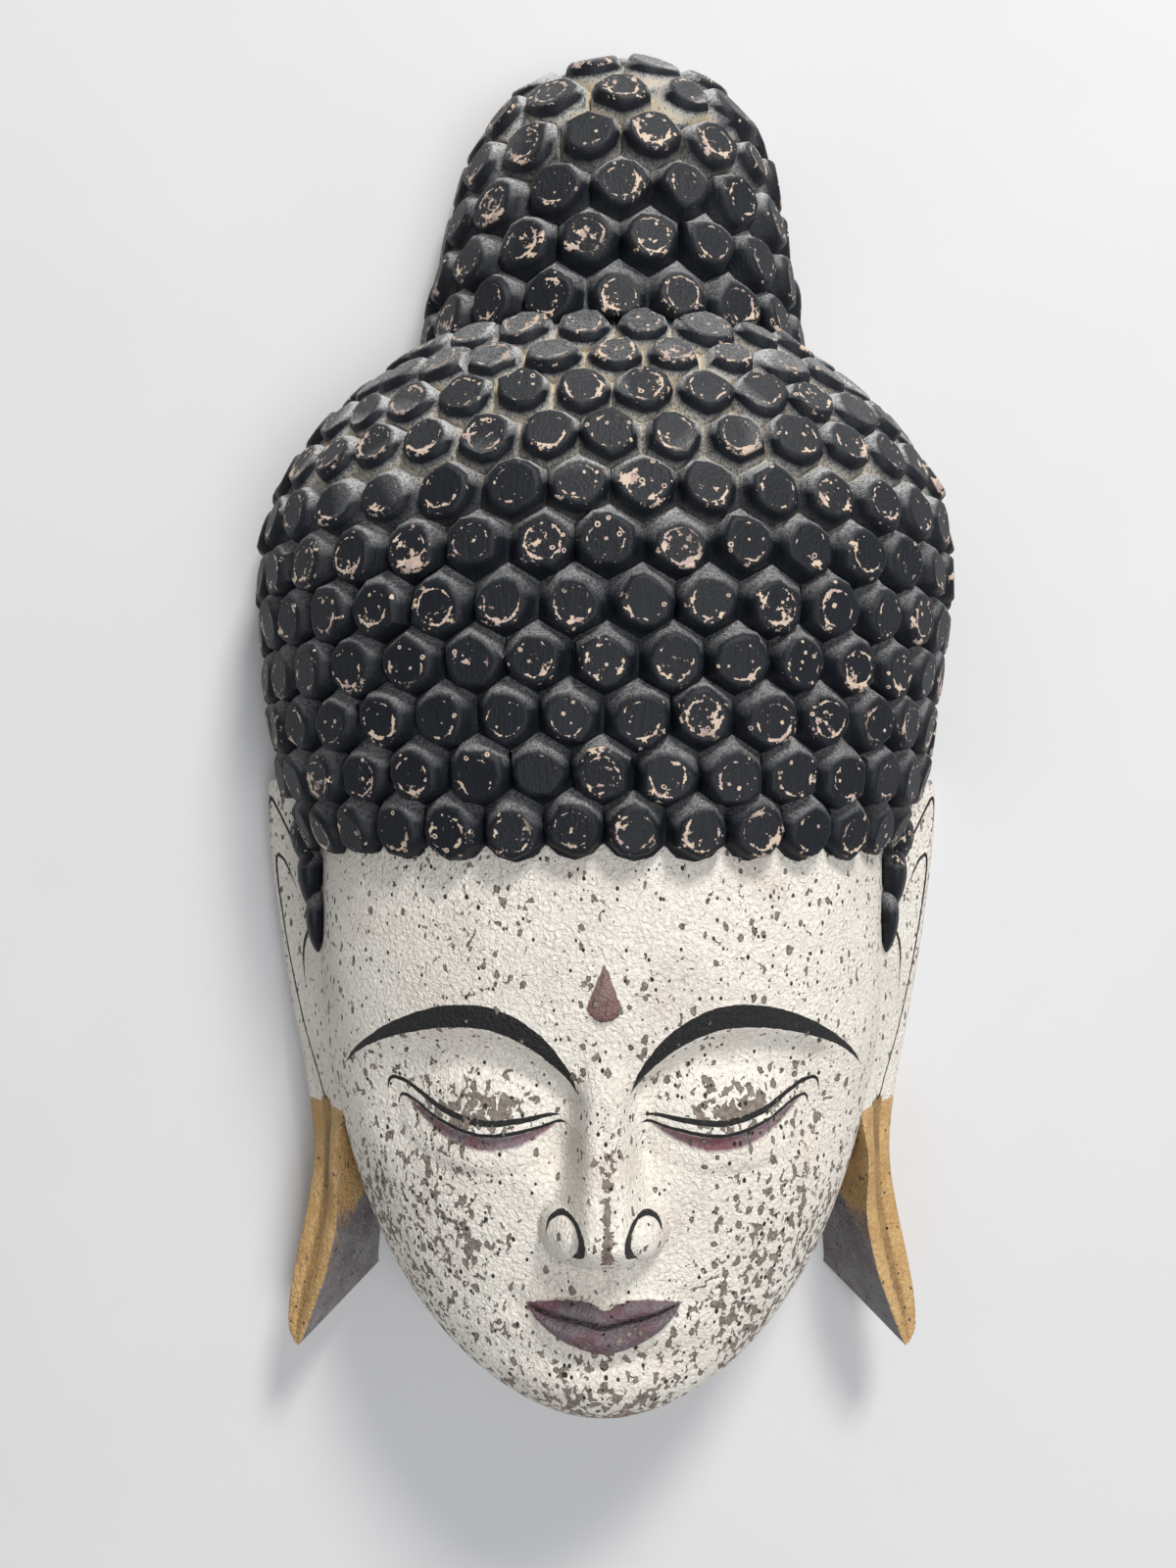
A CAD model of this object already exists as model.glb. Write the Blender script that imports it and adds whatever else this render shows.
"""The looks of a carved and painted wooden wall mask that lies on its flat back.

Metres, with +Z out of the face and +Y towards the crown. The carving is drawn in mask units, of
which the mask is 600 tall, 322 wide and 144 deep, with the chin at 0, and is then moved so that
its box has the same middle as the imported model's. Painted lines are attributes on the mesh: each
holds the signed distance to the middle of the line and the line's half-width, in millimetres.
"""

import logging
from collections.abc import Callable
from dataclasses import dataclass
from enum import Enum

import bmesh
import bpy
import numpy as np
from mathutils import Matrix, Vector
from mathutils.bvhtree import BVHTree
from mathutils.kdtree import KDTree


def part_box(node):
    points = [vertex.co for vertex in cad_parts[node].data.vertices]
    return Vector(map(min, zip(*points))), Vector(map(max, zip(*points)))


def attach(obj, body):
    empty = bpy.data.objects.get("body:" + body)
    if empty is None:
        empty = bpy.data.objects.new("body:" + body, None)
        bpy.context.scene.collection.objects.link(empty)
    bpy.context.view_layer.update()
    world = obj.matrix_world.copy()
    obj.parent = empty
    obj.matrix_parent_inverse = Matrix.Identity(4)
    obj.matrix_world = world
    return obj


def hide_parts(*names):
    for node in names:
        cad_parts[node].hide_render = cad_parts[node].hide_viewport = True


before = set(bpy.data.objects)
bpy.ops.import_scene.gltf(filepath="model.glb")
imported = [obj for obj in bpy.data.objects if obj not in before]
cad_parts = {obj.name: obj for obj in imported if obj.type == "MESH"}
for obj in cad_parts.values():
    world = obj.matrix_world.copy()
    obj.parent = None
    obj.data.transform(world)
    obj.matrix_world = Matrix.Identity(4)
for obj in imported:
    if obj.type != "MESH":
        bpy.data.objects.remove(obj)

log = logging.getLogger("mask")

Array = np.ndarray
Value = float | tuple[float, ...] | bpy.types.NodeSocket
Coats = list[bpy.types.Material]
Cells = tuple[list[tuple], list[tuple[int, ...]], list[tuple[int, int]]]

HEIGHT = 0.600
WIDTH = 0.322
DEPTH = 0.144
WIDE, TALL, DEEP = 322.0, 600.0, 144.0
UNITS = np.array([WIDTH / WIDE, HEIGHT / TALL, DEPTH / DEEP])
MM = 0.001

# The canon of the face, in mask units: a third of its height, and the width of an eye, with
# another such width between the eyes
HAIRLINE = 240.0
THIRD = HAIRLINE / 3
EYE = 47.0

# How high the face's wood runs up into the hair, and how far shapes pass below the flat back
CORE_TOP = 300.0
BELOW_BACK = 6.0

# Sockets of a colour Mix node
FACTOR, COLOUR_A, COLOUR_B, MIXED = 0, 6, 7, 2


class Side(Enum):
    """The two sides of the mask, as the sign of X."""

    LEFT = -1
    RIGHT = 1


class Joining(Enum):
    """How one closed shape is combined with another."""

    ADD = "UNION"
    CUT = "DIFFERENCE"


class Coat(Enum):
    """The material slots of every piece."""

    PAINT = 0
    WOOD = 1


def smooth_step(low: float, high: float, x: Array) -> Array:
    """Rises smoothly from 0 at low to 1 at high."""
    t = np.clip((x - low) / (high - low), 0, 1)
    return t * t * (3 - 2 * t)


def mound(x: Array, y: Array, centre: tuple[float, float], radii: tuple[float, float]) -> Array:
    """1 at the centre, falling to 0 on an ellipse."""
    return np.clip(1 - ((x - centre[0]) / radii[0]) ** 2 - ((y - centre[1]) / radii[1]) ** 2, 0, 1)


def soft_spot(x: Array, y: Array, centre: tuple[float, float], radii: tuple[float, float]) -> Array:
    """1 at the centre, fading out like a bell."""
    return np.exp(-(((x - centre[0]) / radii[0]) ** 2) - ((y - centre[1]) / radii[1]) ** 2)


def smooth_curve(rows: tuple | Array, samples_each: int = 24) -> Array:
    """Draws a Catmull-Rom curve through rows of numbers.

    Args:
        rows: The points, with any number of columns.
        samples_each: How many samples lie between two points.

    Returns:
        The samples, with as many columns as the points have.
    """
    rows = np.array(rows, float)
    ends = np.vstack([2 * rows[0] - rows[1], rows, 2 * rows[-1] - rows[-2]])
    t = np.linspace(0, 1, samples_each, endpoint=False)[:, None]
    pieces = [
        0.5 * (2 * b + (c - a) * t + (2 * a - 5 * b + 4 * c - d) * t**2 + (3 * b - a - 3 * c + d) * t**3)
        for a, b, c, d in zip(ends, ends[1:], ends[2:], ends[3:])
    ]
    return np.vstack([*pieces, rows[-1:]])


def linear(colour: str) -> tuple[float, float, float, float]:
    """Converts an sRGB hex colour to linear RGBA.

    Args:
        colour: The colour, such as "#8a8078".

    Returns:
        Red, green, blue and an alpha of 1.
    """
    parts = np.array([int(colour[i : i + 2], 16) for i in (1, 3, 5)]) / 255
    parts = np.where(parts <= 0.04045, parts / 12.92, ((parts + 0.055) / 1.055) ** 2.4)
    return (*map(float, parts), 1.0)


class Graph:
    """A node tree that is being filled."""

    def __init__(self, tree: bpy.types.NodeTree) -> None:
        """Empties the tree."""
        self.tree = tree
        tree.nodes.clear()

    def add(
        self,
        kind: str,
        inputs: dict[str | int, Value] | None = None,
        output: str | int = 0,
        **settings: object,
    ) -> bpy.types.NodeSocket | None:
        """Adds a node with its settings, values and links.

        Args:
            kind: The node's type name.
            inputs: A value, or another node's output, for each input socket by name or number.
            output: The output that is wanted, by name or number.
            **settings: The node's own properties.

        Returns:
            The output socket, or None if the node has none.
        """
        made = self.tree.nodes.new(kind)
        for key, value in settings.items():
            setattr(made, key, value)
        for key, value in (inputs or {}).items():
            if isinstance(value, bpy.types.NodeSocket):
                self.tree.links.new(value, made.inputs[key])
            else:
                made.inputs[key].default_value = value
        return made.outputs[output] if len(made.outputs) else None


def new_material(name: str) -> tuple[bpy.types.Material, Graph]:
    """Makes a material with nothing in it yet.

    Args:
        name: The material's name.

    Returns:
        The material and its empty graph.
    """
    made = bpy.data.materials.new(name)
    made.use_nodes = True
    return made, Graph(made.node_tree)


def node_tree(name: str, inputs: dict[str, str], outputs: dict[str, str]) -> bpy.types.NodeTree:
    """Makes an empty Geometry Nodes tree with named sockets.

    Args:
        name: The tree's name.
        inputs: Each input's name and kind.
        outputs: Each output's name and kind.

    Returns:
        The new tree.
    """
    tree = bpy.data.node_groups.new(name, "GeometryNodeTree")
    for way, sockets in (("OUTPUT", outputs), ("INPUT", inputs)):
        for label, kind in sockets.items():
            tree.interface.new_socket(label, in_out=way, socket_type=f"NodeSocket{kind}")
    return tree


def linked(name: str, data: bpy.types.ID) -> bpy.types.Object:
    """Makes an object and links it to the scene.

    Args:
        name: The object's name.
        data: Its mesh, light or camera.

    Returns:
        The new object.
    """
    obj = bpy.data.objects.new(name, data)
    bpy.context.scene.collection.objects.link(obj)
    return obj


def turn_outwards(shape: bmesh.types.BMesh) -> None:
    """Points every face of a closed shape outwards.

    Args:
        shape: The shape that changes.
    """
    bmesh.ops.recalc_face_normals(shape, faces=shape.faces)
    if shape.calc_volume(signed=True) < 0:
        bmesh.ops.reverse_faces(shape, faces=shape.faces)


def closed_object(
    name: str, points: Array, faces: list[tuple[int, ...]], coats: Coats, coat: Coat = Coat.PAINT
) -> bpy.types.Object:
    """Makes an object from points in metres, with its faces turned outwards.

    Args:
        name: The object's name.
        points: One row for each point.
        faces: The corners of each face.
        coats: The materials for every Coat, in order.
        coat: The one that all faces wear.

    Returns:
        The new object, linked to the scene.
    """
    mesh = bpy.data.meshes.new(name)
    mesh.from_pydata(points.tolist(), [], faces)
    shape = bmesh.new()
    shape.from_mesh(mesh)
    bmesh.ops.remove_doubles(shape, verts=shape.verts, dist=1e-6)
    bmesh.ops.dissolve_degenerate(shape, edges=shape.edges, dist=1e-6)
    turn_outwards(shape)
    shape.to_mesh(mesh)
    shape.free()
    for material in coats:
        mesh.materials.append(material)
    mesh.polygons.foreach_set("material_index", np.full(len(mesh.polygons), coat.value, np.int32))
    return linked(name, mesh)


def ring_faces(rows: int, count: int) -> list[tuple[int, ...]]:
    """Joins closed rings of points, one after another, with four-sided faces.

    Args:
        rows: How many rings there are.
        count: How many points each has.

    Returns:
        The corners of each face.
    """
    ring = [(k, (k + 1) % count, count + (k + 1) % count, count + k) for k in range(count)]
    return [tuple(j * count + corner for corner in face) for j in range(rows - 1) for face in ring]


def settle(obj: bpy.types.Object) -> None:
    """Turns an object's evaluated mesh into its own plain mesh, and drops its modifiers.

    Args:
        obj: The object that changes.
    """
    graph = bpy.context.evaluated_depsgraph_get()
    mesh = bpy.data.meshes.new_from_object(obj.evaluated_get(graph), depsgraph=graph)
    obj.modifiers.clear()
    obj.data = mesh


def combine(target: bpy.types.Object, others: list[bpy.types.Object], joining: Joining) -> None:
    """Adds closed shapes to a target, or cuts them out of it, and settles the result.

    Args:
        target: The object that changes.
        others: The shapes that it is combined with, one after another.
        joining: Whether they are added or cut.
    """
    for other in others:
        made = target.modifiers.new(other.name, "BOOLEAN")
        made.object = other
        made.operation = joining.value
        made.solver = "MANIFOLD"
    settle(target)


def mask_places(mesh: bpy.types.Mesh) -> Array:
    """Reads where a mesh's points lie.

    Args:
        mesh: The mesh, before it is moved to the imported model's place.

    Returns:
        A row in mask units for each point.
    """
    places = np.zeros(len(mesh.vertices) * 3)
    mesh.vertices.foreach_get("co", places)
    return places.reshape(-1, 3) / UNITS


def store(mesh: bpy.types.Mesh, name: str, values: Array) -> None:
    """Writes a named attribute on a mesh's points, for the materials to read.

    Args:
        mesh: The mesh.
        name: The attribute's name.
        values: A number, or a row of three, for each point.
    """
    kind, key = ("FLOAT", "value") if values.ndim == 1 else ("FLOAT_VECTOR", "vector")
    made = mesh.attributes.new(name, kind, "POINT")
    made.data.foreach_set(key, values.astype(np.float32).ravel())


@dataclass(frozen=True)
class Stroke:
    """One painted line, as rows of (across, up, half-width) in mask units."""

    name: str
    rows: tuple[tuple[float, float, float], ...]

    def field(self, across: Array, up: Array) -> Array:
        """Measures points against the line.

        Args:
            across: Each point's distance from the middle line.
            up: Each point's height.

        Returns:
            A row of (signed distance, half-width, share of the way along) for each point.
        """
        line = smooth_curve(self.rows, 16)
        start, step, widths = line[:-1, :2], np.diff(line[:, :2], axis=0), line[:, 2]
        squared = (step**2).sum(axis=1)
        made = []
        for part in np.array_split(np.column_stack([across, up]), max(1, len(across) // 8000)):
            away = part[:, None] - start[None]
            t = np.clip((away * step).sum(axis=2) / squared, 0, 1)
            gap = away - t[..., None] * step
            far = np.linalg.norm(gap, axis=2)
            near = np.argmin(far, axis=1)
            row = np.arange(len(part))
            turn = step[near, 0] * gap[row, near, 1] - step[near, 1] * gap[row, near, 0]
            along = near + t[row, near]
            width = np.interp(along, np.arange(len(widths)), widths)
            made.append(np.column_stack([far[row, near] * np.sign(turn), width, along / len(step)]))
        return np.vstack(made)


@dataclass(frozen=True)
class Tint:
    """Colour laid over the cream where an attribute is positive, in millimetres inside its edge."""

    attribute: str
    colour: str
    other: str
    softness: float = 0.5


@dataclass(frozen=True)
class ChalkPaint:
    """Cream chalk paint over a grey-brown primer on carved wood, brushed thick and rubbed back.

    Chalk paint dries dead matt and keeps the brush's ridges. Where it was rubbed and pricked, it
    has come off in small craters with dark rims, and most on what stands out.
    """

    name: str
    strokes: tuple[str, ...]
    tints: tuple[Tint, ...]
    cream: str = "#efeae0"
    cream_shade: str = "#dccfc4"
    primer: str = "#958b81"
    primer_dark: str = "#71675f"
    bare: str = "#b58a5c"
    rim: str = "#40352f"
    pit: str = "#2b241f"
    ink: str = "#141518"

    def make(self) -> bpy.types.Material:
        """Builds the material.

        Returns:
            The new material.
        """
        made, g = new_material(self.name)
        place = g.add("ShaderNodeTexCoord", output="Object")
        mm = g.add("ShaderNodeMapping", {"Vector": place, "Scale": (1000, 1000, 1000)})
        upright = g.add("ShaderNodeMapping", {"Vector": place, "Scale": (1000, 740, 1000)})
        wear = g.add("ShaderNodeAttribute", output="Fac", attribute_name="wear")
        drift = g.add("ShaderNodeTexNoise", {"Vector": mm, "Scale": 1 / 45, "Detail": 2.0})
        uneven = g.add("ShaderNodeMapRange", {"Value": drift, "From Min": 0.35, "From Max": 0.65,
                                              "To Min": -0.16, "To Max": 0.16})
        worn = g.add("ShaderNodeMath", {0: wear, 1: uneven}, operation="ADD", use_clamp=True)

        colour, height, roughness = self._coat(g, mm)
        colour, shield = self._drawing(g, mm, colour)
        worn = g.add("ShaderNodeMath", {0: worn, 1: shield}, operation="MULTIPLY")
        colour, lost = self._losses(g, upright, mm, worn, colour)
        height = g.add("ShaderNodeMath", {0: lost, 1: -0.22, 2: height}, operation="MULTIPLY_ADD")
        bump = g.add("ShaderNodeBump", {"Height": height, "Distance": MM, "Strength": 1.0})
        shader = g.add("ShaderNodeBsdfPrincipled", {"Base Color": colour, "Roughness": roughness,
                                                    "Normal": bump, "IOR": 1.5})
        g.add("ShaderNodeOutputMaterial", {"Surface": shader})
        return made

    def _coat(self, g: Graph, mm: Value) -> tuple[Value, Value, Value]:
        """Lays the cream itself: cloudy colour, and ridges about 2 mm apart left by a stiff brush.

        Args:
            g: The material's graph.
            mm: Coordinates in millimetres.

        Returns:
            The colour, its height in millimetres, and its roughness.
        """
        cloud = g.add("ShaderNodeTexNoise", {"Vector": mm, "Scale": 1 / 28, "Detail": 4.0})
        warm = g.add("ShaderNodeMapRange", {"Value": cloud, "From Min": 0.45, "From Max": 0.90})
        colour = g.add("ShaderNodeMix", {FACTOR: warm, COLOUR_A: linear(self.cream),
                                         COLOUR_B: linear(self.cream_shade)}, MIXED, data_type="RGBA")
        ridges = g.add("ShaderNodeTexNoise", {"Vector": mm, "Scale": 1 / 1.9, "Detail": 3.0,
                                              "Roughness": 0.55, "Distortion": 0.7})
        swirl = g.add("ShaderNodeTexNoise", {"Vector": mm, "Scale": 1 / 4.4, "Detail": 1.0,
                                             "Distortion": 1.2})
        swirl = g.add("ShaderNodeMath", {0: swirl, 1: 0.5}, operation="SUBTRACT")
        swirl = g.add("ShaderNodeMath", {0: swirl}, operation="ABSOLUTE")
        low = g.add("ShaderNodeMath", {0: swirl, 1: -0.9}, operation="MULTIPLY")
        height = g.add("ShaderNodeMath", {0: ridges, 1: 2.1, 2: low}, operation="MULTIPLY_ADD")
        dirt = g.add("ShaderNodeMapRange", {"Value": ridges, "From Min": 0.44, "From Max": 0.30,
                                            "To Max": 0.22})
        colour = g.add("ShaderNodeMix", {FACTOR: dirt, COLOUR_A: colour, COLOUR_B: linear(self.primer)},
                       MIXED, data_type="RGBA")
        roughness = g.add("ShaderNodeMapRange", {"Value": cloud, "To Min": 0.60, "To Max": 0.78})
        return colour, height, roughness

    def _drawing(self, g: Graph, mm: Value, colour: Value) -> tuple[Value, Value]:
        """The tints and the brushed black lines over the cream.

        Args:
            g: The material's graph.
            mm: Coordinates in millimetres.
            colour: The cream.

        Returns:
            The drawn colour, and how much of the wear still reaches it.
        """
        waver = g.add("ShaderNodeTexNoise", {"Vector": mm, "Scale": 1 / 3.2, "Detail": 3.0})
        waver = g.add("ShaderNodeMapRange", {"Value": waver, "From Min": 0.3, "From Max": 0.7,
                                             "To Min": -0.32, "To Max": 0.32})
        blend = g.add("ShaderNodeTexNoise", {"Vector": mm, "Scale": 1 / 17, "Detail": 5.0, "Roughness": 0.7})
        blend = g.add("ShaderNodeMapRange", {"Value": blend, "From Min": 0.40, "From Max": 0.60})
        for tint in self.tints:
            inside = g.add("ShaderNodeAttribute", output="Fac", attribute_name=tint.attribute)
            edge = g.add("ShaderNodeMath", {0: inside, 1: waver}, operation="ADD")
            cover = g.add("ShaderNodeMapRange", {"Value": edge, "From Min": 0.0, "From Max": tint.softness},
                          interpolation_type="SMOOTHSTEP")
            both = g.add("ShaderNodeMix", {FACTOR: blend, COLOUR_A: linear(tint.colour),
                                           COLOUR_B: linear(tint.other)}, MIXED, data_type="RGBA")
            colour = g.add("ShaderNodeMix", {FACTOR: cover, COLOUR_A: colour, COLOUR_B: both},
                           MIXED, data_type="RGBA")
        inked = 0.0
        for stroke in self.strokes:
            field = g.add("ShaderNodeAttribute", output="Vector", attribute_name=stroke)
            parts = g.add("ShaderNodeSeparateXYZ", {"Vector": field}).node.outputs
            off = g.add("ShaderNodeMath", {0: parts["X"]}, operation="ABSOLUTE")
            inside = g.add("ShaderNodeMath", {0: parts["Y"], 1: off}, operation="SUBTRACT")
            frayed = g.add("ShaderNodeMath", {0: waver, 1: 0.55, 2: inside}, operation="MULTIPLY_ADD")
            cover = g.add("ShaderNodeMapRange", {"Value": frayed, "From Min": 0.02, "From Max": 0.30},
                          interpolation_type="SMOOTHSTEP")
            inked = g.add("ShaderNodeMath", {0: inked, 1: cover}, operation="MAXIMUM")
        colour = g.add("ShaderNodeMix", {FACTOR: inked, COLOUR_A: colour, COLOUR_B: linear(self.ink)},
                       MIXED, data_type="RGBA")
        shield = g.add("ShaderNodeMapRange", {"Value": inked, "To Min": 1.0, "To Max": 0.35})
        return colour, shield

    def _losses(self, g: Graph, upright: Value, mm: Value, worn: Value, colour: Value) -> tuple[Value, Value]:
        """Ragged bare patches up to 10 mm long, craters of 2 to 4 mm and fine pits.

        Args:
            g: The material's graph.
            upright: Coordinates in millimetres, drawn out along the grain.
            mm: Coordinates in millimetres.
            worn: How worn the paint is, from 0 to 1.
            colour: The paint.

        Returns:
            The colour with its losses, and 1 where the paint is gone.
        """
        patches = g.add("ShaderNodeTexNoise", {"Vector": upright, "Scale": 1 / 3.4, "Detail": 3.0,
                                               "Roughness": 0.55, "Distortion": 0.5})
        level = g.add("ShaderNodeMapRange", {"Value": worn, "To Min": 0.76, "To Max": 0.53})
        rubbed = g.add("ShaderNodeAttribute", output="Fac", attribute_name="rubbed")
        level = g.add("ShaderNodeMath", {0: rubbed, 1: -0.20, 2: level}, operation="MULTIPLY_ADD")
        patch = g.add("ShaderNodeMath", {0: patches, 1: level}, operation="SUBTRACT")
        patch = g.add("ShaderNodeMath", {0: patch, 1: 14.0}, operation="MULTIPLY")

        crater = g.add("ShaderNodeTexVoronoi", {"Vector": upright, "Scale": 1 / 4.8}, "Distance")
        pick = g.add("ShaderNodeSeparateColor", {"Color": crater.node.outputs["Color"]}).node.outputs
        size = g.add("ShaderNodeMapRange", {"Value": pick[0], "From Min": 0.20, "From Max": 1.0,
                                            "To Min": -0.12, "To Max": 0.22}, clamp=False)
        grown = g.add("ShaderNodeMath", {0: worn, 1: 0.22, 2: size}, operation="MULTIPLY_ADD")
        ragged = g.add("ShaderNodeMath", {0: patches, 1: 0.9, 2: grown}, operation="MULTIPLY_ADD")
        hole = g.add("ShaderNodeMath", {0: ragged, 1: crater}, operation="SUBTRACT")
        hole = g.add("ShaderNodeMath", {0: hole, 1: 0.47}, operation="SUBTRACT")
        hole = g.add("ShaderNodeMath", {0: hole, 1: 5.0}, operation="MULTIPLY")

        gone = g.add("ShaderNodeMath", {0: patch, 1: hole, 2: 0.05}, operation="SMOOTH_MAX")
        lost = g.add("ShaderNodeMapRange", {"Value": gone, "From Min": 0.0, "From Max": 0.16},
                     interpolation_type="SMOOTHSTEP")
        off = g.add("ShaderNodeMath", {0: gone, 1: 0.12}, operation="SUBTRACT")
        off = g.add("ShaderNodeMath", {0: off}, operation="ABSOLUTE")
        rim = g.add("ShaderNodeMapRange", {"Value": off, "From Min": 0.26, "From Max": 0.05, "To Max": 0.95})

        mottle = g.add("ShaderNodeTexNoise", {"Vector": mm, "Scale": 1 / 3.0, "Detail": 5.0,
                                              "Roughness": 0.7})
        mottle = g.add("ShaderNodeMapRange", {"Value": mottle, "From Min": 0.36, "From Max": 0.64})
        under = g.add("ShaderNodeMix", {FACTOR: mottle, COLOUR_A: linear(self.primer_dark),
                                        COLOUR_B: linear(self.primer)}, MIXED, data_type="RGBA")
        deep = g.add("ShaderNodeAttribute", output="Fac", attribute_name="bared")
        deep = g.add("ShaderNodeMath", {0: deep, 1: mottle}, operation="MULTIPLY")
        under = g.add("ShaderNodeMix", {FACTOR: deep, COLOUR_A: under, COLOUR_B: linear(self.bare)},
                      MIXED, data_type="RGBA")
        colour = g.add("ShaderNodeMix", {FACTOR: lost, COLOUR_A: colour, COLOUR_B: under},
                       MIXED, data_type="RGBA")
        colour = g.add("ShaderNodeMix", {FACTOR: rim, COLOUR_A: colour, COLOUR_B: linear(self.rim)},
                       MIXED, data_type="RGBA")

        dot = g.add("ShaderNodeTexVoronoi", {"Vector": upright, "Scale": 1 / 2.9}, "Distance")
        luck = g.add("ShaderNodeSeparateColor", {"Color": dot.node.outputs["Color"]}).node.outputs
        chance = g.add("ShaderNodeMath", {0: worn, 1: 0.30, 2: luck[1]}, operation="MULTIPLY_ADD")
        wide = g.add("ShaderNodeMapRange", {"Value": chance, "From Min": 0.50, "From Max": 1.2,
                                            "To Min": 0.0, "To Max": 0.34})
        inside = g.add("ShaderNodeMath", {0: wide, 1: dot}, operation="SUBTRACT")
        pit = g.add("ShaderNodeMapRange", {"Value": inside, "From Min": 0.0, "From Max": 0.07})
        colour = g.add("ShaderNodeMix", {FACTOR: pit, COLOUR_A: colour, COLOUR_B: linear(self.pit)},
                       MIXED, data_type="RGBA")
        lost = g.add("ShaderNodeMath", {0: lost, 1: pit}, operation="MAXIMUM")
        return colour, lost


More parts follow.
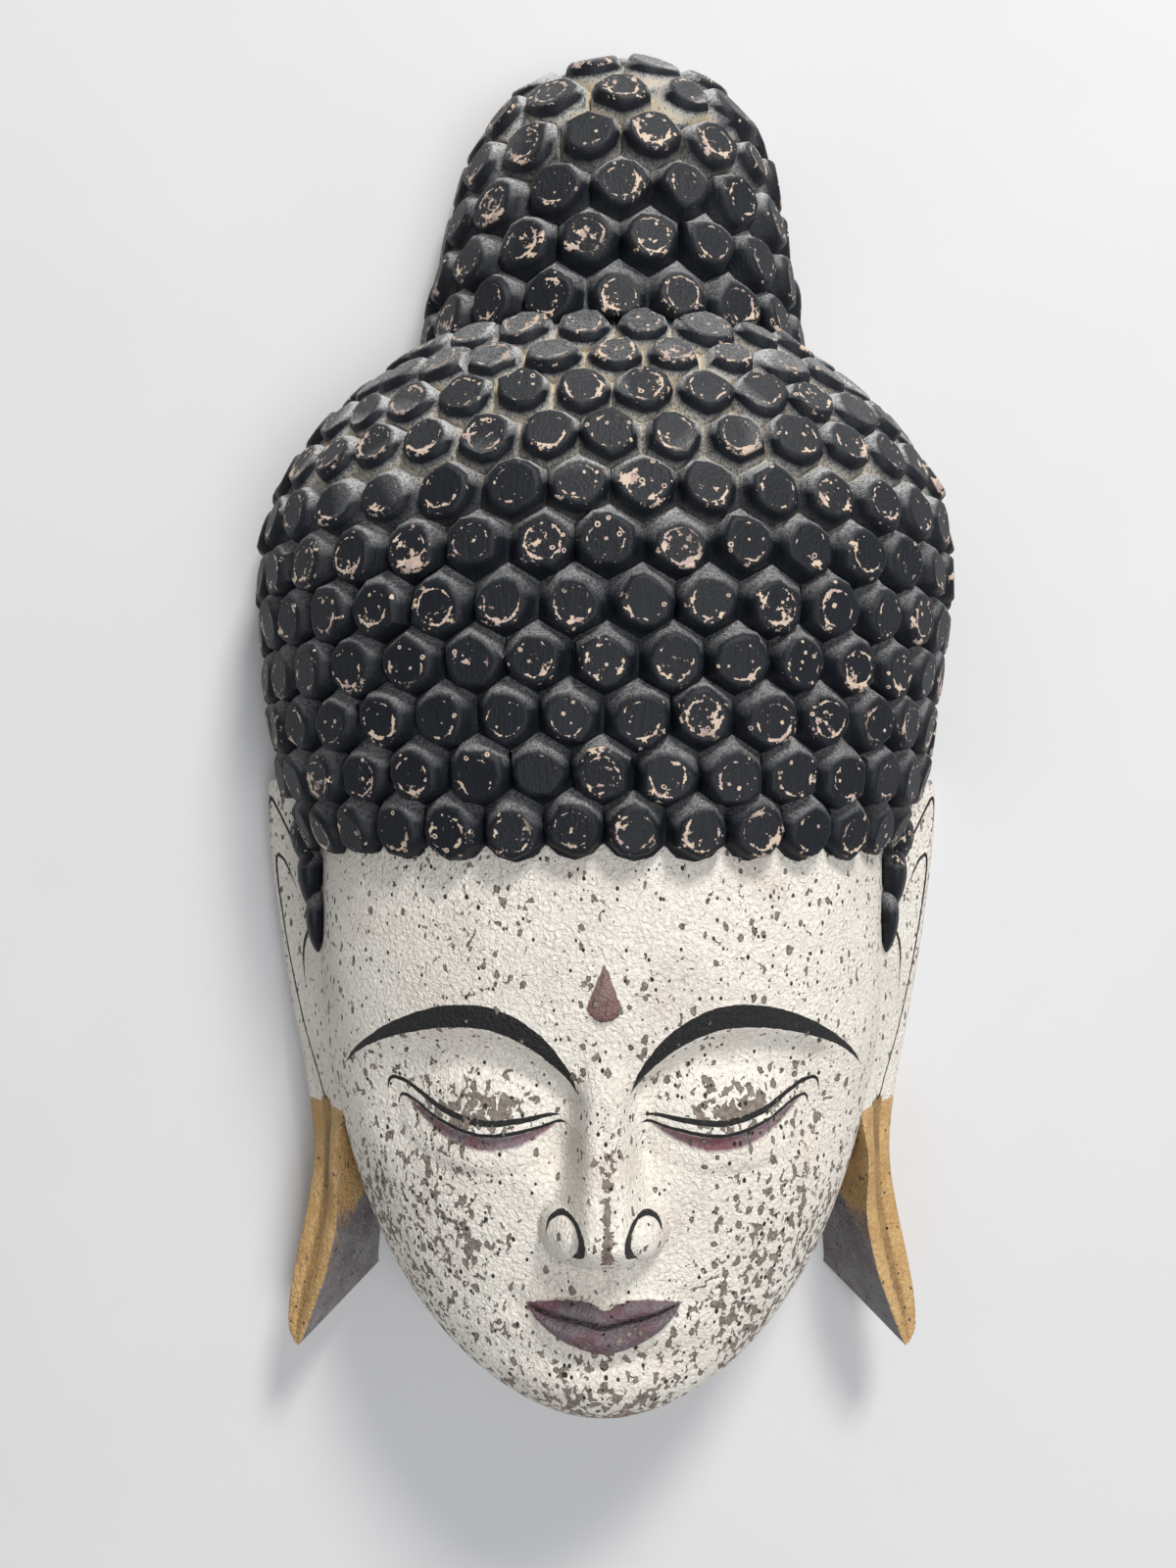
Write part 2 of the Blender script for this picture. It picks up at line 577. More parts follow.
@dataclass(frozen=True)
class BlackPaint:
    """Matt black paint on carved curls, dusty above and rubbed through on the flat discs.

    The discs are what hands and cloths touch, so their rims show pale wood in broken crescents.
    Dust lies in the valleys and on the flanks that faced up while the mask hung.
    """

    name: str = "matt_black_paint"
    black: str = "#0e1218"
    black_worn: str = "#171c24"
    dust: str = "#b9babb"
    dust_deep: str = "#d0c4ab"
    wood: str = "#cdb9a6"
    wood_pink: str = "#b39c96"
    disc_radius: float = 7.7

    def make(self) -> bpy.types.Material:
        """Builds the material.

        Returns:
            The new material.
        """
        made, g = new_material(self.name)
        place = g.add("ShaderNodeTexCoord", output="Object")
        mm = g.add("ShaderNodeMapping", {"Vector": place, "Scale": (1000, 1000, 1000)})
        grain = g.add("ShaderNodeMapping", {"Vector": place, "Scale": (1000, 110, 500)})
        fibres = g.add("ShaderNodeTexNoise", {"Vector": grain, "Scale": 1 / 0.9, "Detail": 3.0})
        brushed = g.add("ShaderNodeTexNoise", {"Vector": mm, "Scale": 1 / 1.6, "Detail": 4.0,
                                               "Roughness": 0.6})
        curl = g.add("ShaderNodeAttribute", output="Vector", attribute_name="curl")
        parts = g.add("ShaderNodeSeparateXYZ", {"Vector": curl}).node.outputs
        disc = g.add("ShaderNodeMapRange", {"Value": parts["Z"], "From Min": 0.86, "From Max": 0.95})

        shade = g.add("ShaderNodeMapRange", {"Value": fibres, "From Min": 0.35, "From Max": 0.7})
        colour = g.add("ShaderNodeMix", {FACTOR: shade, COLOUR_A: linear(self.black),
                                         COLOUR_B: linear(self.black_worn)}, MIXED, data_type="RGBA")
        colour, dusty = self._dust(g, mm, brushed, parts["Z"], colour)
        colour, lost = self._chips(g, mm, parts, disc, colour)

        rough = g.add("ShaderNodeMapRange", {"Value": dusty, "To Min": 0.52, "To Max": 0.88})
        fine = g.add("ShaderNodeMath", {0: fibres, 1: 0.16}, operation="MULTIPLY")
        fine = g.add("ShaderNodeMath", {0: brushed, 1: 0.36, 2: fine}, operation="MULTIPLY_ADD")
        height = g.add("ShaderNodeMath", {0: lost, 1: -0.20, 2: fine}, operation="MULTIPLY_ADD")
        bump = g.add("ShaderNodeBump", {"Height": height, "Distance": MM, "Strength": 1.0})
        shader = g.add("ShaderNodeBsdfPrincipled", {"Base Color": colour, "Roughness": rough, "Normal": bump,
                                                    "IOR": 1.5, "Specular IOR Level": 0.28})
        g.add("ShaderNodeOutputMaterial", {"Surface": shader})
        return made

    def _dust(self, g: Graph, mm: Value, brushed: Value, level: Value, colour: Value) -> tuple[Value, Value]:
        """Grey-beige dust on the upper flanks, thickest near the crown.

        Args:
            g: The material's graph.
            mm: Coordinates in millimetres.
            brushed: Fine noise that breaks the dust up.
            level: How high on its curl a place lies, from 0 in the valley to 1 on the disc.
            colour: The paint.

        Returns:
            The dusty colour, and how much dust there is.
        """
        normal = g.add("ShaderNodeNewGeometry", output="Normal")
        up = g.add("ShaderNodeSeparateXYZ", {"Vector": normal}, "Y")
        facing = g.add("ShaderNodeMapRange", {"Value": up, "From Min": 0.10, "From Max": 0.80})
        lift = g.add("ShaderNodeAttribute", output="Fac", attribute_name="lift")
        crown = g.add("ShaderNodeMapRange", {"Value": lift, "From Min": 0.05, "From Max": 0.55,
                                             "To Min": 0.55, "To Max": 2.40})
        cloud = g.add("ShaderNodeTexNoise", {"Vector": mm, "Scale": 1 / 22, "Detail": 3.0})
        cloud = g.add("ShaderNodeMapRange", {"Value": cloud, "From Min": 0.3, "From Max": 0.7,
                                             "To Min": 0.55})
        grit = g.add("ShaderNodeTexNoise", {"Vector": mm, "Scale": 1 / 0.8, "Detail": 1.0})
        grit = g.add("ShaderNodeMath", {0: grit, 1: brushed}, operation="ADD")
        speck = g.add("ShaderNodeMapRange", {"Value": grit, "From Min": 0.72, "From Max": 1.22,
                                             "To Min": 0.30, "To Max": 1.35})
        deep = g.add("ShaderNodeMapRange", {"Value": level, "From Min": 0.55, "From Max": 0.15,
                                            "To Max": 0.9})
        high = g.add("ShaderNodeMapRange", {"Value": lift, "From Min": 0.15, "From Max": 0.60})
        deep = g.add("ShaderNodeMath", {0: deep, 1: high}, operation="MULTIPLY")
        facing = g.add("ShaderNodeMath", {0: facing, 1: deep}, operation="MAXIMUM")
        amount = g.add("ShaderNodeMath", {0: facing, 1: crown}, operation="MULTIPLY")
        amount = g.add("ShaderNodeMath", {0: amount, 1: cloud}, operation="MULTIPLY")
        amount = g.add("ShaderNodeMath", {0: amount, 1: speck}, operation="MULTIPLY")
        clean = g.add("ShaderNodeMapRange", {"Value": level, "From Min": 0.80, "From Max": 0.96,
                                             "To Min": 1.0, "To Max": 0.05})
        settled = g.add("ShaderNodeMapRange", {"Value": lift, "From Min": 0.42, "From Max": 0.80,
                                               "To Max": 0.26})
        clean = g.add("ShaderNodeMath", {0: clean, 1: settled}, operation="MAXIMUM")
        amount = g.add("ShaderNodeMath", {0: amount, 1: clean}, operation="MULTIPLY", use_clamp=True)
        low = g.add("ShaderNodeMapRange", {"Value": level, "From Min": 0.45, "From Max": 0.05})
        low = g.add("ShaderNodeMath", {0: low, 1: high}, operation="MULTIPLY")
        both = g.add("ShaderNodeMix", {FACTOR: low, COLOUR_A: linear(self.dust),
                                       COLOUR_B: linear(self.dust_deep)}, MIXED, data_type="RGBA")
        colour = g.add("ShaderNodeMix", {FACTOR: amount, COLOUR_A: colour, COLOUR_B: both},
                       MIXED, data_type="RGBA")
        return colour, amount

    def _chips(
        self, g: Graph, mm: Value, parts: bpy.types.bpy_prop_collection, disc: Value, colour: Value
    ) -> tuple[Value, Value]:
        """Crescents and specks of pale wood on the discs.

        Args:
            g: The material's graph.
            mm: Coordinates in millimetres.
            parts: The curl's own across, up and level.
            disc: 1 on the flat discs.
            colour: The paint.

        Returns:
            The colour with its chips, and 1 where the paint is gone.
        """
        flat = g.add("ShaderNodeCombineXYZ", {"X": parts["X"], "Y": parts["Y"]})
        far = g.add("ShaderNodeVectorMath", {0: flat}, "Value", operation="LENGTH")
        ragged = g.add("ShaderNodeTexNoise", {"Vector": mm, "Scale": 1 / 2.6, "Detail": 4.0,
                                              "Roughness": 0.65})
        waver = g.add("ShaderNodeTexNoise", {"Vector": mm, "Scale": 1 / 4.5, "Detail": 2.0})
        far = g.add("ShaderNodeMath", {0: waver, 1: 3.2, 2: far}, operation="MULTIPLY_ADD")
        off = g.add("ShaderNodeMath", {0: far, 1: self.disc_radius * 0.90 + 1.6}, operation="SUBTRACT")
        off = g.add("ShaderNodeMath", {0: off}, operation="ABSOLUTE")
        ring = g.add("ShaderNodeMapRange", {"Value": off, "From Min": 0.85, "From Max": 0.1})
        chance = g.add("ShaderNodeAttribute", output="Fac", attribute_name="chance")
        lower = g.add("ShaderNodeMapRange", {"Value": parts["Y"], "From Min": 7.0, "From Max": -7.0,
                                             "To Min": -0.05, "To Max": 0.07})
        side = g.add("ShaderNodeTexNoise", {"Vector": mm, "Scale": 1 / 9, "Detail": 1.0})
        pull = g.add("ShaderNodeMath", {0: side, 1: lower}, operation="ADD")
        pull = g.add("ShaderNodeMath", {0: chance, 1: 0.17, 2: pull}, operation="MULTIPLY_ADD")
        field = g.add("ShaderNodeMath", {0: ragged, 1: 1.25, 2: pull}, operation="MULTIPLY_ADD")
        field = g.add("ShaderNodeMath", {0: ring, 1: 0.24, 2: field}, operation="MULTIPLY_ADD")
        crescent = g.add("ShaderNodeMapRange", {"Value": field, "From Min": 1.465, "From Max": 1.495})

        speck = g.add("ShaderNodeTexVoronoi", {"Vector": mm, "Scale": 1 / 4.2}, "Distance")
        luck = g.add("ShaderNodeSeparateColor", {"Color": speck.node.outputs["Color"]}).node.outputs
        wide = g.add("ShaderNodeMapRange", {"Value": luck[0], "From Min": 0.38, "From Max": 1.0,
                                            "To Max": 0.27})
        rough = g.add("ShaderNodeMath", {0: ragged, 1: 0.40, 2: speck}, operation="MULTIPLY_ADD")
        rough = g.add("ShaderNodeMath", {0: rough, 1: 0.20}, operation="SUBTRACT")
        inside = g.add("ShaderNodeMath", {0: wide, 1: rough}, operation="SUBTRACT")
        edge = g.add("ShaderNodeMath", {0: inside, 1: 0.07}, operation="SUBTRACT")
        edge = g.add("ShaderNodeMath", {0: edge}, operation="ABSOLUTE")
        speck = g.add("ShaderNodeMapRange", {"Value": edge, "From Min": 0.09, "From Max": 0.05})
        lost = g.add("ShaderNodeMath", {0: crescent, 1: speck}, operation="MAXIMUM")
        lost = g.add("ShaderNodeMath", {0: lost, 1: disc}, operation="MULTIPLY")

        tone = g.add("ShaderNodeMapRange", {"Value": luck[1], "From Min": 0.55, "From Max": 0.95})
        wood = g.add("ShaderNodeMix", {FACTOR: tone, COLOUR_A: linear(self.wood),
                                       COLOUR_B: linear(self.wood_pink)}, MIXED, data_type="RGBA")
        colour = g.add("ShaderNodeMix", {FACTOR: lost, COLOUR_A: colour, COLOUR_B: wood},
                       MIXED, data_type="RGBA")
        return colour, lost


@dataclass(frozen=True)
class BareWood:
    """Unfinished albizia wood: pale brown, open-grained and dull, as a chisel left it."""

    name: str = "bare_albizia_wood"
    light: str = "#b8936a"
    dark: str = "#8d6a48"
    pore: str = "#4d3826"

    def make(self) -> bpy.types.Material:
        """Builds the material, with its grain along Y.

        Returns:
            The new material.
        """
        made, g = new_material(self.name)
        place = g.add("ShaderNodeTexCoord", output="Object")
        grain = g.add("ShaderNodeMapping", {"Vector": place, "Scale": (1000, 45, 1000)})
        rings = g.add("ShaderNodeTexNoise", {"Vector": grain, "Scale": 1 / 5.5, "Detail": 5.0,
                                             "Distortion": 0.5})
        pores = g.add("ShaderNodeTexNoise", {"Vector": grain, "Scale": 1 / 0.8, "Detail": 2.0})
        tone = g.add("ShaderNodeMapRange", {"Value": rings, "From Min": 0.32, "From Max": 0.68})
        colour = g.add("ShaderNodeMix", {FACTOR: tone, COLOUR_A: linear(self.light),
                                         COLOUR_B: linear(self.dark)}, MIXED, data_type="RGBA")
        hole = g.add("ShaderNodeMapRange", {"Value": pores, "From Min": 0.40, "From Max": 0.30,
                                            "To Max": 0.5})
        colour = g.add("ShaderNodeMix", {FACTOR: hole, COLOUR_A: colour, COLOUR_B: linear(self.pore)},
                       MIXED, data_type="RGBA")
        height = g.add("ShaderNodeMath", {0: hole, 1: -0.25}, operation="MULTIPLY")
        bump = g.add("ShaderNodeBump", {"Height": height, "Distance": MM, "Strength": 1.0})
        rough = g.add("ShaderNodeMapRange", {"Value": tone, "To Min": 0.72, "To Max": 0.86})
        shader = g.add("ShaderNodeBsdfPrincipled", {"Base Color": colour, "Roughness": rough, "Normal": bump})
        g.add("ShaderNodeOutputMaterial", {"Surface": shader})
        return made


@dataclass
class Face:
    """The bare face, as a height over the flat back at each point. All sizes are mask units."""

    jaw_width: float = 127.0
    mouth_half_width: float = 0.66 * EYE
    wall_lift: float = 22.0
    wall_lean: float = 0.06
    rows: int = 270
    columns: int = 244
    wall_steps: int = 8

    def jaw_half_width(self, y: Array) -> Array:
        """Half the face's width at each height: a plain oval below, straight at the temples."""
        rise = np.clip((190 - y) / 190, 0, 1)
        return self.jaw_width * np.clip(1 - rise**2.15, 0, 1) ** (1 / 1.8)

    def side_height(self, y: Array) -> Array:
        """How far above the back the face's outline lies: low at the temples, high at the chin."""
        return 24 + 44 * (1 - smooth_step(0, 130, y))

    def front_height(self, y: Array) -> Array:
        """Draws the middle line of the bare face, before nose and mouth are raised on it.

        Args:
            y: Heights up the face.

        Returns:
            How far above the back the line lies at each height.
        """
        line = smooth_curve(
            ((-20, 108), (25, 107), (53, 108), (80, 111), (112, 117), (135, 120), (160, 125),
             (200, 128), (240, 127), (330, 127))
        )
        rounding = np.clip(1 - (np.clip(36 - y, 0, 36) / 36) ** 2.5, 0, 1) ** (1 / 2.3)
        bottom = self.side_height(y)
        return bottom + (np.interp(y, line[:, 0], line[:, 1]) - bottom) * rounding

    def brow_edge(self, x: Array) -> Array:
        """Draws the crisp ridge over each eye, from the nose out to the temple.

        Args:
            x: Distances from the middle line, on either side.

        Returns:
            The ridge's height up the face at each distance.
        """
        t = np.clip((np.abs(x) - 0.2 * EYE) / (1.95 * EYE), 0, 1)
        peak, start, end = 2.14 * THIRD, 1.86 * THIRD, 1.97 * THIRD
        inner = peak - (peak - start) * ((0.48 - t) / 0.48) ** 2
        outer = peak - (peak - end) * ((t - 0.48) / 0.52) ** 2
        return np.where(t < 0.48, inner, outer)

    def lid_line(self, x: Array) -> Array:
        """The height at which the closed lids meet: a slack curve, lowest near its middle."""
        t = (np.abs(x) - EYE) / (0.5 * EYE)
        return 1.59 * THIRD + 0.065 * THIRD * t**2 + 0.014 * THIRD * t

    def mouth_line(self, x: Array) -> Array:
        """The height at which the lips meet, dipping at the middle and rising to the corners."""
        t = np.abs(x) / self.mouth_half_width
        return 0.655 * THIRD + 0.075 * THIRD * t**2.2 - 0.022 * THIRD * np.exp(-((t / 0.24) ** 2))

    def lip_reach(self, x: Array) -> tuple[Array, Array]:
        """Measures both lips from the line where they meet.

        Args:
            x: Distances from the middle line, on either side.

        Returns:
            How far the upper lip rises over the line, and how far the lower one hangs under it.
        """
        a = np.abs(x)
        across = np.clip(1 - (a / self.mouth_half_width) ** 2, 0, 1)
        bow = 1 - 0.24 * np.exp(-((a / 4.5) ** 2))
        return 0.125 * THIRD * across**0.7 * bow, 0.155 * THIRD * across**0.75

    def urna_half_width(self, y: Array) -> Array:
        """Half the width of the drop on the forehead, straight-sided up to its point."""
        t = np.clip((y - 2.17 * THIRD) / (0.30 * THIRD), 0, 1)
        return np.where(t > 0, 9.4 * (1 - t) * smooth_step(-0.12, 0.24, t), 0)

    def eye_relief(self, x: Array, y: Array) -> Array:
        """Shapes the hollow under the brow, the swell of the lid and the step where the lids meet.

        Args:
            x: Distances across the face from its middle line.
            y: Heights up the face.

        Returns:
            What the eyes add to the face's height.
        """
        a = np.abs(x)
        below = self.brow_edge(x) - y
        hollow = smooth_step(0, 10, below) * (1 - smooth_step(30, 60, below))
        side = smooth_step(0.08 * EYE, 0.40 * EYE, a) * (1 - smooth_step(1.55 * EYE, 2.35 * EYE, a))
        lid = mound(a, y, (1.02 * EYE, 1.655 * THIRD), (0.80 * EYE, 0.27 * THIRD)) ** 1.05
        across = np.clip(1 - ((a - 1.02 * EYE) / (0.66 * EYE)) ** 2, 0, 1) ** 0.5
        under = self.lid_line(x) - y
        step = smooth_step(-0.4, 1.4, under) * (1 - smooth_step(3, 18, under)) * across
        return -8.5 * hollow * side + 10.0 * lid - 3.2 * step

    def nose_relief(self, x: Array, y: Array) -> Array:
        """Shapes the ridge from the brow to the rounded tip, its wings and the step under them.

        Args:
            x: Distances across the face from its middle line.
            y: Heights up the face.

        Returns:
            What the nose adds to the face's height.
        """
        a = np.abs(x)
        down = np.clip((2.0 * THIRD - y) / (0.88 * THIRD), 0, 1)
        flat, flank = 2.4 + 3.4 * down, 8 + 8.5 * down
        across = (1 - smooth_step(0, 1, np.clip((a - flat) / flank, 0, 1))) ** 0.85
        drop = np.clip((1.18 * THIRD - y) / (0.235 * THIRD), 0, 1)
        under = np.sqrt(np.clip(1 - drop**2, 0, 1))
        ridge = (3.5 + 24 * down**1.15) * across * smooth_step(0, 26, 2.12 * THIRD - y)
        tip = mound(a, y, (0, 1.13 * THIRD), (0.25 * EYE, 0.17 * THIRD)) ** 0.8
        wing = mound(a, y, (0.33 * EYE, 1.12 * THIRD), (0.21 * EYE, 0.145 * THIRD)) ** 0.55
        ridge = (ridge + 4.0 * tip) * under
        return np.maximum(ridge, 14.5 * wing + 0.3 * ridge)

    def mouth_relief(self, x: Array, y: Array) -> Array:
        """Shapes both lips on the swell of the jaws, the groove over them and the chin under them.

        Args:
            x: Distances across the face from its middle line.
            y: Heights up the face.

        Returns:
            What the mouth and chin add to the face's height.
        """
        a = np.abs(x)
        across = np.clip(1 - (a / self.mouth_half_width) ** 2, 0, 1)
        line = self.mouth_line(x)
        over, hang = self.lip_reach(x)
        upper = np.clip((y - line) / (over + 0.01), 0, 1)
        lower = np.clip((line - y) / (hang + 0.01), 0, 1)
        upper_lip = 9.2 * np.sqrt(upper * (1 - upper)) * across**0.3
        lower_lip = 12.0 * np.sqrt(lower * (1 - lower)) * across**0.4
        seam = np.exp(-(((y - line) / 1.8) ** 2)) * smooth_step(0, 0.25, across)
        swell = 6.5 * soft_spot(x, y, (0, 0.70 * THIRD), (0.80 * EYE, 0.34 * THIRD))
        dimples = soft_spot(a, y, (0.75 * EYE, 0.73 * THIRD), (6, 6))
        groove = np.exp(-((a / 3.4) ** 2)) * smooth_step(0.79 * THIRD, 0.84 * THIRD, y)
        groove = groove * (1 - smooth_step(0.93 * THIRD, 0.98 * THIRD, y))
        crease = soft_spot(x, y, (0, 0.445 * THIRD), (0.60 * EYE, 0.07 * THIRD))
        chin = soft_spot(x, y, (0, 0.24 * THIRD), (0.55 * EYE, 0.19 * THIRD))
        lips = np.where(y >= line, upper_lip, lower_lip)
        return swell + lips - 2.6 * seam - 2.2 * dimples - 1.6 * groove - 3.2 * crease + 5.5 * chin

    def height(self, x: Array, y: Array) -> Array:
        """Adds up the carved face.

        Args:
            x: Distances across the face from its middle line.
            y: Heights up the face.

        Returns:
            The face's height over the back at each point.
        """
        half = np.maximum(self.jaw_half_width(y), 1e-6)
        share = np.clip(np.abs(x) / half, 0, 1)
        dome = np.clip(1 - share**2.3, 0, 1) ** (1 / 2.1)
        bottom = self.side_height(y)
        inside = smooth_step(0, 0.25, 1 - share)
        urna = 2.2 * (1 - smooth_step(-2.4, 0, np.abs(x) - self.urna_half_width(y)))
        cheek = 5.0 * soft_spot(np.abs(x), y, (1.42 * EYE, 1.12 * THIRD), (0.80 * EYE, 0.46 * THIRD))
        chisel = 0.20 * np.sin(x / 4.1 + 1.3 * np.sin(y / 9.7)) * np.sin(y / 5.3 + 1.7 * np.sin(x / 11.9))
        features = self.eye_relief(x, y) + self.nose_relief(x, y) + self.mouth_relief(x, y)
        relief = features + urna + cheek + chisel
        return bottom + (self.front_height(y) - bottom) * dome + relief * inside

    def build(self, coats: Coats) -> bpy.types.Object:
        """Makes the face and the wood behind it, up into the cap of hair.

        Args:
            coats: The materials for every Coat.

        Returns:
            The closed face, with its rows closest where the lids, lips and chin are.
        """
        fine = np.linspace(0, CORE_TOP, 3001)
        dense = 0.8 + 6 / (1 + fine / 1.2) + 0.9 * np.exp(-(((fine - 0.66 * THIRD) / 14) ** 2))
        dense += 0.7 * np.exp(-(((fine - 1.60 * THIRD) / 16) ** 2)) - 0.4 * smooth_step(215, 250, fine)
        travel = np.concatenate([[0], np.cumsum((dense[1:] + dense[:-1]) / 2)])
        heights = np.interp(np.linspace(0, travel[-1], self.rows + 1), travel, fine)
        across = np.sin(np.linspace(-np.pi / 2, np.pi / 2, self.columns + 1))
        drops = np.linspace(0, 1, self.wall_steps + 1)[1:]
        lines = []
        for y in heights:
            half = float(self.jaw_half_width(y))
            x = across * half
            front = np.column_stack([x, np.full_like(x, y), self.height(x, np.full_like(x, y))])
            top, lift = float(self.side_height(y)), self.wall_lift * (1 - float(smooth_step(0, 110, y)))
            wall = [(half * (1 - self.wall_lean * t), y + lift * t, top - (top + BELOW_BACK) * t)
                    for t in drops]
            left = [(-wx, wy, wz) for wx, wy, wz in reversed(wall)]
            lines.append(np.vstack([left, front, wall]))
        count = len(lines[0])
        top_face = tuple(range((len(lines) - 1) * count, len(lines) * count))
        faces = [*ring_faces(len(lines), count), top_face]
        return closed_object("mask_face", np.vstack(lines) * UNITS, faces, coats)

    def strokes(self) -> list[Stroke]:
        """Lists the lines that the brush drew on each half of the face.

        Returns:
            The brow, both lid lines and the arc round the nostril.
        """

        def along(offsets: tuple, line: Callable[[Array], Array]) -> tuple:
            """Rows that follow a line of the carving at shares of the eye's width."""
            return tuple((s * EYE, float(line(np.array(s * EYE))) + up, half) for s, up, half in offsets)

        brow = ((0.22, -5.0, 0.2), (0.34, -0.6, 1.9), (0.60, 2.4, 3.7), (0.95, 3.6, 4.7), (1.35, 3.4, 4.6),
                (1.75, 2.2, 3.3), (2.05, 0.6, 1.8), (2.22, -3.5, 1.0), (2.33, -10.0, 0.2))
        upper = ((0.34, 0.2, 0.2), (0.46, 3.2, 0.9), (0.70, 4.9, 1.3), (1.02, 5.1, 1.5), (1.35, 5.2, 1.4),
                 (1.60, 5.4, 1.1), (1.78, 3.6, 1.0), (1.87, 0.0, 0.8), (1.90, -6.5, 0.2))
        lower = ((0.30, -4.6, 0.2), (0.38, -1.4, 0.8), (0.60, 0.0, 1.0), (1.02, 0.2, 1.1), (1.40, 0.4, 1.0),
                 (1.64, 0.2, 0.9), (1.76, -2.2, 0.8), (1.80, -7.5, 0.2))
        turns = np.radians(np.linspace(-60, 175, 9))
        weights = (0.4, 1.5, 1.5, 1.3, 1.1, 1.0, 0.9, 0.7, 0.2)
        middle, radii = (0.335 * EYE, 1.135 * THIRD), (0.150 * EYE, 0.105 * THIRD)
        nostril = tuple(
            (middle[0] - radii[0] * float(np.cos(t)), middle[1] + radii[1] * float(np.sin(t)), w)
            for t, w in zip(turns, weights)
        )
        return [
            Stroke("brow", along(brow, self.brow_edge)),
            Stroke("upper_lid", along(upper, self.lid_line)),
            Stroke("lower_lid", along(lower, self.lid_line)),
            Stroke("nostril", nostril),
        ]

    def dress(self, mesh: bpy.types.Mesh, hair: bpy.types.Object) -> None:
        """Writes what the paint needs: the drawn lines, the tinted places and the wear.

        Args:
            mesh: The finished face, still in the carving's own place.
            hair: The hair, which the black paint laps over by a millimetre.
        """
        x, y, z = mask_places(mesh).T
        a = np.abs(x)
        for stroke in self.strokes():
            store(mesh, stroke.name, stroke.field(a, y))
        over, hang = self.lip_reach(x)
        line = self.mouth_line(x)
        store(mesh, "lips", np.minimum(y - (line - hang), line + over - y))
        drop = self.urna_half_width(y)
        store(mesh, "urna", np.where(drop > 0, drop - a, -9.0))
        under = self.lid_line(x) - y
        span = 1 - ((a - 1.05 * EYE) / (0.70 * EYE)) ** 2
        band = 7.4 * np.sqrt(np.clip(span, 0, 1)) - under
        store(mesh, "under_lid", np.where((span > 0) & (under > 0), np.minimum(band, under + 0.6), -1.0))
        tree = BVHTree.FromObject(hair, bpy.context.evaluated_depsgraph_get())
        near = np.full(len(x), -5.0)
        for i in np.flatnonzero((y > 190) & (z > 5)):
            found = tree.find_nearest(mesh.vertices[int(i)].co, 0.005)
            if found[3] is not None:
                near[i] = 0.7 - found[3] / MM
        store(mesh, "by_hair", near)
        store(mesh, "wear", self.wear(x, y))
        strip = np.exp(-(((x - 1.2) / 3.0) ** 2)) * smooth_step(1.00 * THIRD, 1.10 * THIRD, y)
        strip = strip * (1 - smooth_step(1.25 * THIRD, 1.85 * THIRD, y))
        lids = 0.55 * soft_spot(a, y, (1.05 * EYE, 1.71 * THIRD), (0.36 * EYE, 0.08 * THIRD))
        patch = 0.5 * soft_spot(x, y, (6, 0.07 * THIRD), (0.45 * EYE, 0.12 * THIRD))
        store(mesh, "rubbed", np.clip(strip + lids + patch, 0, 1))
        tip = soft_spot(x, y, (1.5, 1.02 * THIRD), (4, 4)) + 0.6 * soft_spot(x, y, (2, 0.05 * THIRD), (16, 8))
        store(mesh, "bared", np.clip(1.4 * tip, 0, 1))

    def wear(self, x: Array, y: Array) -> Array:
        """Tells how far the paint has worn: most on the lids, cheeks, jaw, chin and nose.

        Args:
            x: Distances across the face from its middle line.
            y: Heights up the face.

        Returns:
            The wear at each point, from 0 to 1.
        """
        a = np.abs(x)
        share = a / np.maximum(self.jaw_half_width(y), 1e-6)
        lids = 0.85 * soft_spot(a, y, (1.02 * EYE, 1.72 * THIRD), (0.46 * EYE, 0.13 * THIRD))
        cheeks = 0.46 * soft_spot(a, y, (1.70 * EYE, 1.08 * THIRD), (0.95 * EYE, 0.60 * THIRD))
        jaws = 0.38 * soft_spot(a, y, (1.15 * EYE, 0.52 * THIRD), (0.80 * EYE, 0.42 * THIRD))
        chin = 0.95 * soft_spot(x, y, (0, 0.08 * THIRD), (0.74 * EYE, 0.30 * THIRD))
        rim = 0.18 * smooth_step(0.78, 1.0, share) * (1 - smooth_step(1.4 * THIRD, 1.9 * THIRD, y))
        ridge = np.exp(-(((x - 1.0) / 2.6) ** 2)) * smooth_step(0.98 * THIRD, 1.15 * THIRD, y)
        ridge = 0.95 * ridge * (1 - smooth_step(1.35 * THIRD, 1.75 * THIRD, y))
        tip = 0.9 * soft_spot(x, y, (1.0, 1.05 * THIRD), (7, 6))
        clean = soft_spot(a, y, (0.62 * EYE, 1.35 * THIRD), (0.30 * EYE, 0.36 * THIRD))
        clean = clean + soft_spot(a, y, (0.45 * EYE, 0.90 * THIRD), (0.55 * EYE, 0.13 * THIRD))
        made = 0.42 + lids + cheeks + jaws + chin + rim - 0.26 * clean
        return np.clip(np.maximum(np.maximum(made, ridge), tip), 0, 1)


@dataclass
class Ring:
    """One level of a curl: its share of the rise, of the cell's reach, and how round it is."""

    level: float
    spread: float
    roundness: float


